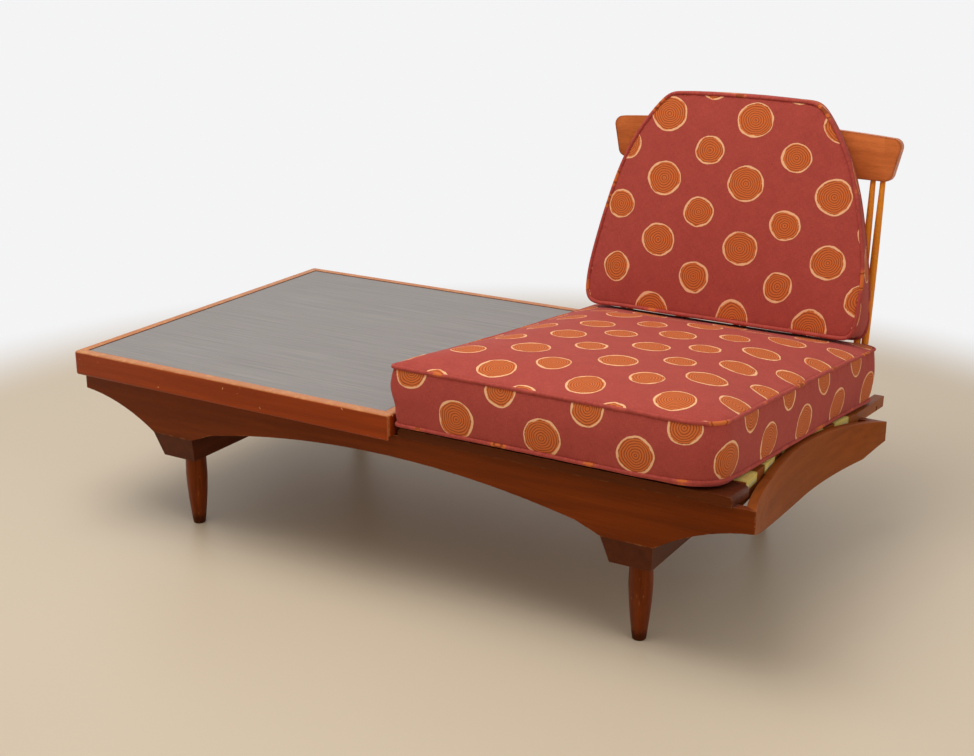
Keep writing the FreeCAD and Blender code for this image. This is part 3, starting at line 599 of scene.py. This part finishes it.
def sewn_line(node, place):
    """The closed line of a cushion's lower sewn edge, from its solid, in its own frame."""
    turned = place.inverted()
    points = np.array([turned @ Vector(point) for point in points_of(nodes[node].data)])
    line = np.unique(points[np.abs(points[:, 2]) < 0.0003][:, :2].round(5), axis=0)
    return line[np.argsort(np.arctan2(line[:, 1], line[:, 0]))]


def even_ring(line, softening):
    """Evenly spaced points along a closed line, with its corners softened."""
    ring = np.vstack([line, line[:1]])
    steps = np.linalg.norm(np.diff(ring, axis=0), axis=1)
    reach = np.concatenate([[0], np.cumsum(steps)])
    count = max(12, round(reach[-1] / RING_SPACING))
    places = np.linspace(0, reach[-1], count, endpoint=False)
    ring = np.stack([np.interp(places, reach, ring[:, axis]) for axis in (0, 1)], axis=1)
    for _ in range(softening):
        ring = (np.roll(ring, 1, axis=0) + 2 * ring + np.roll(ring, -1, axis=0)) / 4
    return ring


def crowned_shape(name, ring, boxing, crown, underside):
    """A closed crowned form: lower sewn edge at zero, upper one at the boxing's height."""
    middle = ring.mean(axis=0)

    def rise(share):
        return (1 - (1 - min(share / 0.5, 1.0)) ** 2) ** 0.5

    levels = [(1 - share, -underside * rise(share)) for share in reversed(CROWN_SHARES)]
    for step in range(1, 8):
        up = step / 8
        levels.append((1 + BOXING_SWELL * math.sin(math.pi * up), boxing * up))
    levels += [(1 - share, boxing + crown * rise(share)) for share in CROWN_SHARES]
    form = bmesh.new()
    loops = [[form.verts.new((*(middle + (point - middle) * scale), height)) for point in ring]
             for scale, height in levels]
    base = form.verts.new((*middle, -underside))
    peak = form.verts.new((*middle, boxing + crown))
    count = len(ring)
    turns = [(i, (i + 1) % count) for i in range(count)]
    for lower, upper in zip(loops, loops[1:]):
        for i, j in turns:
            form.faces.new((lower[i], lower[j], upper[j], upper[i]))
    for i, j in turns:
        form.faces.new((base, loops[0][j], loops[0][i]))
        form.faces.new((peak, loops[-1][i], loops[-1][j]))
    form.normal_update()
    mesh = bpy.data.meshes.new(name)
    form.to_mesh(mesh)
    form.free()
    return link(name, mesh)


def fill(piece, edges, settings):
    """Fills a cover: its sewn edges hold while pressure swells the panels between them."""
    start = points_of(piece.data)
    held = np.flatnonzero(nearest(start, edges)[1] < settings.remesh_size * 0.9)
    group = piece.vertex_groups.new(name="sewn edges")
    group.add(held.tolist(), 1.0, "REPLACE")
    cloth = modify(piece, "filling", "CLOTH").settings
    cloth.quality = 4
    cloth.vertex_group_mass = group.name
    cloth.use_pressure = True
    cloth.uniform_pressure_force = settings.pressure
    cloth.effector_weights.gravity = 0.0
    scene = bpy.context.scene
    for step in range(1, settings.steps + 1):
        scene.frame_set(step)
    filled = worked_mesh(piece)
    move = points_of(filled) - start
    bpy.data.meshes.remove(filled)
    piece.modifiers.clear()
    piece.vertex_groups.clear()
    scene.frame_set(1)
    reach = np.linalg.norm(move, axis=1, keepdims=True)
    limit = settings.swell
    move *= limit * np.tanh(reach / limit) / np.maximum(reach, 1e-9)
    set_points(piece.data, start + move)


def fold_cover(mesh, ring, edges, boxing, settings):
    """Adds the small folds along the sewn edges and the slight sag of the panels."""
    points = points_of(mesh)
    near = nearest(points, edges)[1]
    folds = np.zeros(len(points))
    close = np.flatnonzero(near < FOLD_REACH)
    flat = points[close] * (1, 1, 0)
    for i, stop in zip(close, nearest(flat, at_height(ring, 0.0))[0]):
        seed = 1.0 if points[i][2] > boxing / 2 else 5.0
        fading = math.exp(-near[i] / FOLD_FADE) * min(1.0, near[i] / FOLD_START)
        folds[i] = pucker_at(stop * RING_SPACING, seed) * fading
    sag = np.array([noise.noise(Vector(point) * 7.0) for point in points]) * SAG
    shift = folds * settings.pucker + sag * np.clip(near / SAG_REACH, 0, 1)
    set_points(mesh, points + read(mesh.vertices, "normal", float) * shift[:, None])


def pucker_at(along, seed):
    """Small uneven folds along a sewn edge, about -1 to 1."""
    return noise.noise((along / 0.017, seed, 0.0)) + 0.6 * noise.noise((along / 0.007, seed, 7.0))


def keep_flat(mesh, underside):
    points = points_of(mesh)
    points[:, 2] = np.maximum(points[:, 2], -underside)
    set_points(mesh, points)


def lay_cloth(mesh, ring, boxing):
    """Lays the cloth in metres: flat on the two faces, along the edge on the boxing."""
    points = points_of(mesh)
    closed = np.vstack([ring, ring[:1]])
    span = np.diff(closed, axis=0)
    length = np.linalg.norm(span, axis=1)
    before = np.concatenate([[0], np.cumsum(length)])
    along = np.empty(len(points))
    for part in np.array_split(np.arange(len(points)), max(1, len(points) // 4000)):
        offset = points[part, None, :2] - ring[None]
        share = np.clip((offset * span).sum(axis=2) / (length ** 2), 0, 1)
        gap = np.linalg.norm(offset - share[..., None] * span, axis=2)
        best = gap.argmin(axis=1)
        along[part] = before[best] + share[np.arange(len(part)), best] * length[best]
    corners = read(mesh.loops, "vertex_index")
    totals = read(mesh.polygons, "loop_total")
    owner = np.repeat(np.arange(len(totals)), totals)
    middle = (np.bincount(owner, points[corners, 2]) / totals)[owner]
    flat = points[corners]
    spread = along[corners]
    # A face that crosses the end of the line keeps to its first corner's side
    first = spread[np.concatenate([[0], np.cumsum(totals)[:-1]])][owner]
    spread = spread + before[-1] * np.round((first - spread) / before[-1])
    side = (middle > 0) & (middle < boxing)
    upper = middle >= boxing
    u = np.where(side, spread + 0.037, flat[:, 0] + np.where(upper, 0.055, 0.4))
    v = np.where(side, flat[:, 2] + 0.031, flat[:, 1] + np.where(upper, 0.02, 0.3))
    layer = mesh.uv_layers.new(name="cloth")
    layer.data.foreach_set("uv", np.stack([u, v], axis=1).ravel())


def tube(name, line, radius, across, closed, sides=12, start=0.0):
    """A round tube along a line of points. The direction across never lies along the line."""
    line = np.asarray(line, float)
    count = len(line)
    if closed:
        ahead = np.roll(line, -1, axis=0) - np.roll(line, 1, axis=0)
    else:
        ahead = np.gradient(line, axis=0)
    ahead /= np.linalg.norm(ahead, axis=1, keepdims=True)
    beside = np.cross(ahead, across)
    beside /= np.linalg.norm(beside, axis=1, keepdims=True)
    above = np.cross(beside, ahead)
    turns = np.linspace(0, math.tau, sides, endpoint=False)[None, :, None]
    rings = line[:, None] + radius * (np.cos(turns) * beside[:, None]
                                      + np.sin(turns) * above[:, None])
    steps = np.linalg.norm(np.diff(np.vstack([line, line[:1]]), axis=0), axis=1)
    reach = start + np.concatenate([[0], np.cumsum(steps)])
    faces, places = [], []
    for i in range(count if closed else count - 1):
        j = (i + 1) % count
        for k in range(sides):
            m = (k + 1) % sides
            faces.append((i * sides + k, i * sides + m, j * sides + m, j * sides + k))
            low, high = (PIPING_CUT + girth / sides * PIPING_CUT_WIDTH for girth in (k, k + 1))
            places += [(reach[i], low), (reach[i], high), (reach[i + 1], high), (reach[i + 1], low)]
    if not closed:
        faces.append(tuple(range(sides))[::-1])
        faces.append(tuple((count - 1) * sides + k for k in range(sides)))
        places += [(0.0, 0.0)] * (2 * sides)
    mesh = bpy.data.meshes.new(name)
    mesh.from_pydata(rings.reshape(-1, 3).tolist(), [], faces)
    layer = mesh.uv_layers.new(name="cloth")
    layer.data.foreach_set("uv", np.array(places, float).ravel())
    mesh.shade_smooth()
    return mesh


def sew_piping(name, ring, height, settings, seed):
    """A piped edge along a sewn line, set a little into the seam."""
    inward = ring.mean(axis=0) - ring
    inward /= np.linalg.norm(inward, axis=1, keepdims=True)
    line = at_height(ring + inward * 0.0015, height)
    for i, point in enumerate(line):
        point[2] += 0.0007 * noise.noise((i * RING_SPACING / 0.05, seed, 3.0))
    return link(name, tube(name, line, settings.piping_diameter / 2, (0, 0, 1), True,
                           start=seed * 0.23))


def make_cushion(name, place, boxing, crown, underside, settle, settings, cloths,
                 flat=False, softening=0):
    """A boxed and piped cushion: cut, filled, sewn, settled and laid in place."""
    ring = even_ring(sewn_line(name, place), softening)
    edges = np.vstack([at_height(ring, 0.0), at_height(ring, boxing)])
    start = settings.start_share
    cover = crowned_shape(name + "_cover", ring[::2], boxing, crown * start,
                          underside if flat else underside * start)
    modify(cover, "even cloth", "REMESH", mode="VOXEL", voxel_size=settings.remesh_size)
    work_in(cover)
    fill(cover, edges, settings)
    modify(cover, "relaxed cloth", "SMOOTH", factor=0.5, iterations=3)
    modify(cover, "finer cloth", "SUBSURF", levels=1, render_levels=1)
    work_in(cover)
    # However far the filling went, the crown and the underside end where the solid's do
    points = points_of(cover.data)
    for past, limit, way in ((points[:, 2] - boxing, crown, 1), (-points[:, 2], underside, -1)):
        points[:, 2] += way * np.where(past > 0, past * (limit / past.max() - 1), 0.0)
    set_points(cover.data, points)
    if flat:
        keep_flat(cover.data, underside)
    fold_cover(cover.data, ring, edges, boxing, settings)
    if flat:
        keep_flat(cover.data, underside)
    lay_cloth(cover.data, ring, boxing)
    cover.data.shade_smooth()
    pieces = [(cover, cloths[0])]
    for word, height, seed in (("lower", 0.0, 2.0), ("upper", boxing, 4.0)):
        piping = sew_piping(name + "_piping_" + word, ring, height, settings, seed)
        pieces.append((piping, cloths[1]))
    for piece, cloth in pieces:
        set_points(piece.data, settle(points_of(piece.data)))
        piece.data.transform(place)
        piece.data.materials.append(cloth)
        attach(piece, name)
    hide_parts(name)


def slope_frame():
    """The base's sloping top: a point on its front edge, and its directions along and out."""
    low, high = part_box("front_rail")
    rear_low, rear_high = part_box("rear_rail")
    angle = math.atan2(high.z - rear_high.z, rear_low.y - low.y)
    along = Vector((0, math.cos(angle), -math.sin(angle)))
    out = Vector((0, math.sin(angle), math.cos(angle)))
    return Vector((0, low.y, high.z)), along, out


def placed(origin, along, out):
    """The place of a piece drawn with X across, Y along and Z out."""
    turn = Matrix((along.cross(out), along, out)).transposed().to_4x4()
    return Matrix.Translation(origin) @ turn


class Strap:
    """Where a strap of webbing lies on the base's slope, read from its solid."""

    def __init__(self, node):
        self.origin, self.along, self.out = slope_frame()
        points = points_of(nodes[node].data) - np.array(self.origin)
        setback = points @ np.array(self.along)
        rise = points @ np.array(self.out)
        self.first, self.last = setback.min(), setback.max()
        self.low, self.high = rise.min(), rise.max()
        self.middle = (points[:, 0].min() + points[:, 0].max()) / 2
        self.near = points[setback < self.first + 0.002][:, 0].max() - self.middle
        self.far = points[setback > self.last - 0.002][:, 0].max() - self.middle

    def edge(self, share):
        """How far down the slope a thread lies, and its half length, at a share of the width."""
        return (self.first + (self.last - self.first) * share,
                self.near + (self.far - self.near) * share)

    def spot(self, across, setback, above):
        return (self.origin + Vector((self.middle + across, 0, 0)) + self.along * setback
                + self.out * above)


class BENCH_OT_base(bpy.types.Operator):
    """Finish the base: its rails, leg beams, legs, blocks, dowels and bolts"""
    bl_idname = "bench.base"
    bl_label = "Base"

    def execute(self, context):
        look = context.scene.bench_wood
        rails = wood("base_wood", "X", stained(look, "base"), 0.30, look.worn, 0.45)
        legs = leg_wood("leg_wood", stained(look, "leg"), look.worn)
        pale = wood("block_wood", "X", stained(look, "pale"), 0.6)
        ends = wood("end_wood", "Y", stained(look, "end"), 0.42, look.worn, 0.3, shine=0.10)
        beams = wood("beam_wood", "Y", stained(look, "beam"), 0.34, look.worn, 0.2)
        finish_nodes(("front_rail", "rear_rail"), rails, look.arris)
        finish_nodes(("left_end_rail", "right_end_rail"), ends, look.arris)
        finish_nodes(("left_leg_beam", "right_leg_beam"), beams, look.arris)
        finish_nodes([end + side + "_leg" for end in ("front_", "rear_")
                      for side in ("left", "right")], legs, 0.0)
        finish_nodes(("corner_blocks",), pale, look.arris)
        finish_nodes(("rail_dowels",), pale, 0.0)
        finish_nodes(("leg_bolts",), steel(), 0.0)
        return {"FINISHED"}


class BENCH_OT_table(bpy.types.Operator):
    """Finish the table: its edge bands, dark sheet, core, runners and screws"""
    bl_idname = "bench.table"
    bl_label = "Table"

    def execute(self, context):
        look = context.scene.bench_wood
        for grain, sides in (("X", ("front", "rear")), ("Y", ("left", "right"))):
            # The bands' pale arrises are partly real wear and partly a painted highlight, and their
            # upward faces take a painted sheen.
            band = wood("band_wood_grain_" + grain.lower(), grain, stained(look, "band"), 0.26,
                        look.worn, 0.8, chips=0.9, shine=0.5, edge_reach=0.006, even=0.6)
            finish_nodes(["table_" + side + "_band" for side in sides], band, look.arris / 2)
        core = wood("core_wood", "X", stained(look, "pale"), 0.6)
        runners = wood("runner_wood", "Y", stained(look, "beam"), 0.45)
        finish_nodes(("table_sheet",), laminate(), 0.0)
        finish_nodes(("table_core",), core, 0.0)
        finish_nodes(("table_left_runner", "table_right_runner"), runners, look.arris)
        finish_nodes(("runner_screws",), steel(), 0.0)
        return {"FINISHED"}


class BENCH_OT_seat_frame(bpy.types.Operator):
    """Finish the seat frame: its front board, rails, spindles, crest rail and screws"""
    bl_idname = "bench.seat_frame"
    bl_label = "Seat Frame"

    def execute(self, context):
        look = context.scene.bench_wood
        board = wood("board_wood", "X", stained(look, "board"), 0.36, look.worn, 0.15)
        crest = wood("crest_wood", "X", stained(look, "crest"), 0.30, look.crest_arris, 0.9,
                     edge_reach=0.010, even=0.6)
        turned = wood("spindle_wood", "Z", stained(look, "spindle"), 0.34)
        rails = wood("seat_rail_wood", "Y", stained(look, "seat_rail"), 0.40, shine=0.14)
        screws = steel("bronzed_steel", tone(84, 50, 32), tone(52, 30, 20))
        finish_nodes(("seat_front_board", "spindle_rail"), board, look.arris)
        finish_nodes(("seat_left_rail", "seat_right_rail"), rails, look.arris)
        finish_nodes(("crest_rail",), crest, look.arris * 2)
        pairs = ["spindle_pair_" + str(i + 1) for i in range(SPINDLE_PAIR_COUNT)]
        finish_nodes(pairs, turned, 0.0)
        finish_nodes(("seat_screws",), screws, 0.0)
        return {"FINISHED"}


class BENCH_OT_webbing(bpy.types.Operator):
    """Stretch the seat's webbing over its rails and staple the ends"""
    bl_idname = "bench.webbing"
    bl_label = "Webbing"

    def execute(self, context):
        cloth = webbing_cloth(context.scene.bench_cloth)
        metal = steel()
        for index in range(STRAP_COUNT):
            word = str(index + 1)
            strap = Strap("webbing_strap_" + word)
            webbing = link("webbing_" + word, self.stretch(strap, "webbing_" + word, index))
            staples = link("staples_" + word, self.staple(strap, "staples_" + word))
            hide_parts("webbing_strap_" + word)
            for piece, material, slot in ((webbing, cloth, "webbing"),
                                          (staples, metal, "screw_steel")):
                piece.data.materials.append(material)
                piece.data.shade_smooth()
                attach(piece, "seat")
        return {"FINISHED"}

    def stretch(self, strap, name, seed):
        """A strap: up one rail, across with a slight sag, and down the other."""
        low, high = strap.low, strap.high
        side = [(-1.0, low), (-1.0, (low + high) / 2), (-1.0, high - STRAP_BEND),
                (-1.0, high - STRAP_BEND / 3)]
        inner = [(-1.0 + share, high)
                 for share in (0.005, 0.02, 0.05, 0.1, 0.2, 0.35, 0.5, 0.65, 0.8, 0.95)]
        line = side + inner + [(0.0, high)] + [(-x, z) for x, z in reversed(side + inner)]
        widths = np.linspace(0, 1, 9)
        verts, places = [], []
        for inset in (0.0, STRAP_THICKNESS):
            for x, z in line:
                for share in widths:
                    setback, half = strap.edge(share)
                    if abs(x) == 1.0:
                        across = math.copysign(half - inset, x)
                        above = z - (inset if z > high - STRAP_BEND else 0)
                    else:
                        across = x * half
                        above = z - inset
                        if abs(x) < 0.94:
                            above -= 0.0022 * (1 - x * x) ** 0.5
                        if abs(x) < 0.9:
                            above += 0.0005 * math.sin(math.pi * share)
                            above += 0.0006 * noise.noise((x * 3, share * 2, seed * 3.1))
                    verts.append(strap.spot(across, setback, above))
                    places.append((x * half + (z if abs(x) == 1 else 0), setback))
        wide = len(widths)
        count = len(line) * wide
        faces = []
        for i in range(len(line) - 1):
            for a in range(i * wide, (i + 1) * wide - 1):
                faces.append((a, a + wide, a + wide + 1, a + 1))
                faces.append((count + a, count + a + 1, count + a + wide + 1, count + a + wide))
            for a, turn in ((i * wide, 1), ((i + 1) * wide - 1, -1)):
                faces.append((a, count + a, count + a + wide, a + wide)[::turn])
        for start, turn in ((0, 1), (count - wide, -1)):
            for a in range(start, start + wide - 1):
                faces.append((a, a + 1, count + a + 1, count + a)[::turn])
        mesh = bpy.data.meshes.new(name)
        mesh.from_pydata(verts, [], faces)
        layer = mesh.uv_layers.new(name="cloth")
        for loop in mesh.loops:
            layer.data[loop.index].uv = places[loop.vertex_index]
        mesh.validate()
        form = bmesh.new()
        form.from_mesh(mesh)
        bmesh.ops.recalc_face_normals(form, faces=form.faces)
        form.to_mesh(mesh)
        form.free()
        return mesh

    def staple(self, strap, name):
        """Wire staples through the turned-down ends of a strap."""
        height = strap.low + (strap.high - strap.low) * 0.42
        form = bmesh.new()
        for side in (-1, 1):
            for share in (0.22, 0.5, 0.78):
                setback, half = strap.edge(share)
                line = [strap.spot(side * (half + depth), setback + step, height)
                        for step, depth in ((-0.0052, -0.002), (-0.005, 0.0004), (-0.004, 0.0007),
                                            (0.0, 0.0008), (0.004, 0.0007), (0.005, 0.0004),
                                            (0.0052, -0.002))]
                form.from_mesh(tube(name, line, 0.0006, tuple(strap.out), False, 8))
        mesh = bpy.data.meshes.new(name)
        form.to_mesh(mesh)
        form.free()
        return mesh


class BENCH_OT_cushions(bpy.types.Operator):
    """Cut, fill and sew the seat cushion and the back cushion"""
    bl_idname = "bench.cushions"
    bl_label = "Cushions"

    def execute(self, context):
        settings = context.scene.bench_cushion
        look = context.scene.bench_cloth
        cloths = (dotted_cloth("dotted_cloth", look, look.rim),
                  dotted_cloth("piping_cloth", look, look.ground))
        self.seat(settings, cloths)
        self.back(settings, cloths)
        return {"FINISHED"}

    def seat(self, settings, cloths):
        _, along, out = slope_frame()
        left, right = extent("seat_cushion", (1, 0, 0))
        near, far = extent("seat_cushion", along)
        low, high = extent("seat_cushion", out)
        crown = high - low - SEAT_EDGE_RISE - SEAT_BOXING
        middle = (Vector(((left + right) / 2, 0, 0)) + along * ((near + far) / 2)
                  + out * (low + SEAT_EDGE_RISE))
        side, front = (left - right) / 2, (near - far) / 2

        def used(points):
            # The front left corner swells out over the table's edge
            _, y, z = points.T
            corner = hill(points, (side, front), SWELL_REACH)
            points[:, 0] -= CORNER_SWELL * corner * smooth_step((z - SWELL_START) / SWELL_RISE)
            # By the front right corner the lower sewn edge is drawn up
            drawn = hill(points, (-side, front), SEAM_REACH)
            drawn *= np.clip(1 - z / SEAT_BOXING, 0, 1) * smooth_step(z / SEAT_EDGE_RISE + 1)
            points[:, 2] += SEAM_DRAW * drawn
            # The back cushion presses the crown down
            pressed = 1 - CROWN_PRESS * smooth_step((y + front + PRESS_START) / PRESS_RUN)
            points[:, 2] = np.where(z > SEAT_BOXING, SEAT_BOXING + (z - SEAT_BOXING) * pressed, z)
            return points

        make_cushion("seat_cushion", placed(middle, along, out), SEAT_BOXING, crown,
                     SEAT_EDGE_RISE, used, settings, cloths, flat=True)

    def back(self, settings, cloths):
        along = Vector((0, math.sin(BACK_RECLINE), math.cos(BACK_RECLINE)))
        out = Vector((0, -math.cos(BACK_RECLINE), math.sin(BACK_RECLINE)))
        left, right = extent("back_cushion", (1, 0, 0))
        low, high = extent("back_cushion", along)
        rear = extent("back_cushion", out)[0]
        middle = (Vector(((left + right) / 2, 0, 0)) + along * ((low + high) / 2)
                  + out * (rear + BACK_CROWN))
        place = placed(middle, along, out)
        foot = (low - high) / 2
        sinks = self.sinks(place, foot, SINK_WIDTH * (right - left))
        down = np.array(place.to_3x3().inverted() @ Vector((0, 0, -1)))

        def settled(points):
            up = points[:, 1] - foot
            share = np.clip(points[:, 2] / BACK_BOXING, 0, 1)
            points[:, 2] -= up * math.tan(BACK_TAPER) * share
            # The front face is wider than the rear one, less so by its lower right corner
            aside = np.clip(points[:, 0] / WIDENING_RUN, -1, 1)
            risen = up / CORNER_HEIGHT
            right = FRONT_WIDENING * smooth_step(risen) - CORNER_NARROWING * smooth_step(1 - risen)
            points[:, 0] += np.where(aside < 0, FRONT_WIDENING, right) * share * aside
            points[:, 1] += TOP_RISE * smooth_step(up / TOP_HEIGHT)
            # The lower edge sinks onto the seat
            rows = np.array([np.interp(points[:, 0], *row) for row in sinks])
            level = share * (len(sinks) - 1)
            lower = np.minimum(level.astype(int), len(sinks) - 2)
            picks = np.arange(len(points))
            before, after = rows[lower, picks], rows[lower + 1, picks]
            sink = before + (after - before) * (level - lower)
            return points + (sink * smooth_step(1 - up / BACK_EASE))[:, None] * down

        make_cushion("back_cushion", place, BACK_BOXING, BACK_CROWN, BACK_CROWN, settled,
                     settings, cloths, softening=BACK_SOFTENING)

    def sinks(self, place, foot, wide):
        """How far the lower edge can sink onto the seat, in rows from rear to front."""
        cover = bpy.data.objects["seat_cushion_cover"].data
        seat = BVHTree.FromPolygons([tuple(point) for point in points_of(cover)],
                                    [tuple(face.vertices) for face in cover.polygons])
        rows = []
        for share in np.linspace(0, 1, SINK_ROWS):
            across = np.linspace(-wide, wide, SINK_STOPS)
            gaps = []
            for x in across:
                spot = place @ Vector((x, foot, BACK_BOXING * share))
                hit = seat.ray_cast(spot + Vector((0, 0, 0.1)), Vector((0, 0, -1)))[0]
                # Behind the seat's rear edge it sinks as far as it can
                gaps.append(spot.z - hit.z - BACK_REST if hit else BACK_DROP)
            rows.append((across, np.clip(gaps, -BACK_LIFT, BACK_DROP)))
        return rows


class BENCH_OT_stage(bpy.types.Operator):
    """Set up the floor, the soft light and the camera"""
    bl_idname = "bench.stage"
    bl_label = "Stage"

    def execute(self, context):
        stage = context.scene.bench_stage
        self.floor(stage)
        self.room(context.scene, stage)
        self.lamp("key_light", stage.key, (-0.5, -0.7, 3.0), 2.4, 1.8)
        self.lamp("fill_light", stage.fill, (2.6, -1.0, 1.7), 1.6, 1.6)
        self.camera(context.scene, stage)
        context.scene.view_settings.view_transform = "Standard"
        return {"FINISHED"}

    def floor(self, stage):
        """A pale floor that fades into the room's colour a little way from the bench."""
        side = 14.0
        mesh = bpy.data.meshes.new("floor")
        mesh.from_pydata([(-side, -side, 0), (side, -side, 0), (side, side, 0), (-side, side, 0)],
                         [], [(0, 1, 2, 3)])
        finish = Finish("floor")
        place = finish.place()
        far = finish.measure("LENGTH", place).rise(1.40, 1.92)
        shade = finish.speckle(place, 0.7, 2.0)
        near_colour = finish.mix(shade, darker(stage.floor, 0.97), stage.floor)
        ground = finish.node("ShaderNodeBsdfPrincipled", {}, {
            "Base Color": near_colour, "Roughness": 0.42, "Specular IOR Level": 0.35})
        glow = finish.node("ShaderNodeEmission", {}, {"Color": stage.wall, "Strength": 1.0})
        mixed = finish.node("ShaderNodeMixShader", {}, {
            0: far * finish.seen(), 1: ground.outputs[0], 2: glow.outputs[0]})
        finish.node("ShaderNodeOutputMaterial", {}, {"Surface": mixed.outputs[0]})
        mesh.materials.append(finish.block)
        link("floor", mesh)

    def room(self, scene, stage):
        """Even light from all round, and the wall's colour behind the bench."""
        room = Finish("room", "worlds")
        even = room.node("ShaderNodeBackground", {}, {"Color": (1.0, 0.99, 0.97),
                                                      "Strength": stage.sky})
        wall = room.node("ShaderNodeBackground", {}, {"Color": stage.wall})
        mixed = room.node("ShaderNodeMixShader", {}, {
            0: room.seen(), 1: even.outputs[0], 2: wall.outputs[0]})
        room.node("ShaderNodeOutputWorld", {}, {"Surface": mixed.outputs[0]})
        scene.world = room.block

    def lamp(self, name, power, place, wide, high):
        light = bpy.data.lights.new(name, "AREA")
        light.shape = "RECTANGLE"
        light.size = wide
        light.size_y = high
        light.energy = power
        lamp = link(name, light)
        lamp.location = place
        lamp.rotation_mode = "QUATERNION"
        lamp.rotation_quaternion = (lamp.location - Vector((0.1, 0.0, 0.3))).to_track_quat("Z", "Y")

    def camera(self, scene, stage):
        camera = bpy.data.cameras.new("camera")
        camera.lens = stage.lens
        camera.sensor_width = 36.0
        eye = link("camera", camera)
        eye.location = stage.camera_place
        eye.rotation_euler = stage.camera_turn
        scene.camera = eye


class BENCH_PT_pieces(bpy.types.Panel):
    """The bench's pieces and their sizes and colours"""
    bl_label = "Modular Bench"
    bl_space_type = "VIEW_3D"
    bl_region_type = "UI"
    bl_category = "Bench"

    def draw(self, context):
        layout = self.layout
        for operator in OPERATORS:
            layout.operator(operator.bl_idname)
        for name in SETTINGS:
            settings = getattr(context.scene, name)
            box = layout.box()
            for part in settings.bl_rna.properties.keys():
                if part not in ("rna_type", "name"):
                    box.prop(settings, part)


SETTINGS = {
    "bench_wood": BenchWoodSettings,
    "bench_cloth": BenchClothSettings,
    "bench_cushion": BenchCushionSettings,
    "bench_stage": BenchStageSettings,
}
OPERATORS = (BENCH_OT_base, BENCH_OT_table, BENCH_OT_seat_frame, BENCH_OT_webbing,
             BENCH_OT_cushions, BENCH_OT_stage)


def register():
    for name, settings in SETTINGS.items():
        bpy.utils.register_class(settings)
        setattr(bpy.types.Scene, name, PointerProperty(type=settings))
    for part in (*OPERATORS, BENCH_PT_pieces):
        bpy.utils.register_class(part)


def unregister():
    for part in (BENCH_PT_pieces, *OPERATORS):
        bpy.utils.unregister_class(part)
    for name, settings in SETTINGS.items():
        delattr(bpy.types.Scene, name)
        bpy.utils.unregister_class(settings)


def main():
    register()
    bpy.ops.bench.base()
    bpy.ops.bench.table()
    bpy.ops.bench.seat_frame()
    bpy.ops.bench.webbing()
    bpy.ops.bench.cushions()
    bpy.ops.bench.stage()


if __name__ == "__main__":
    main()
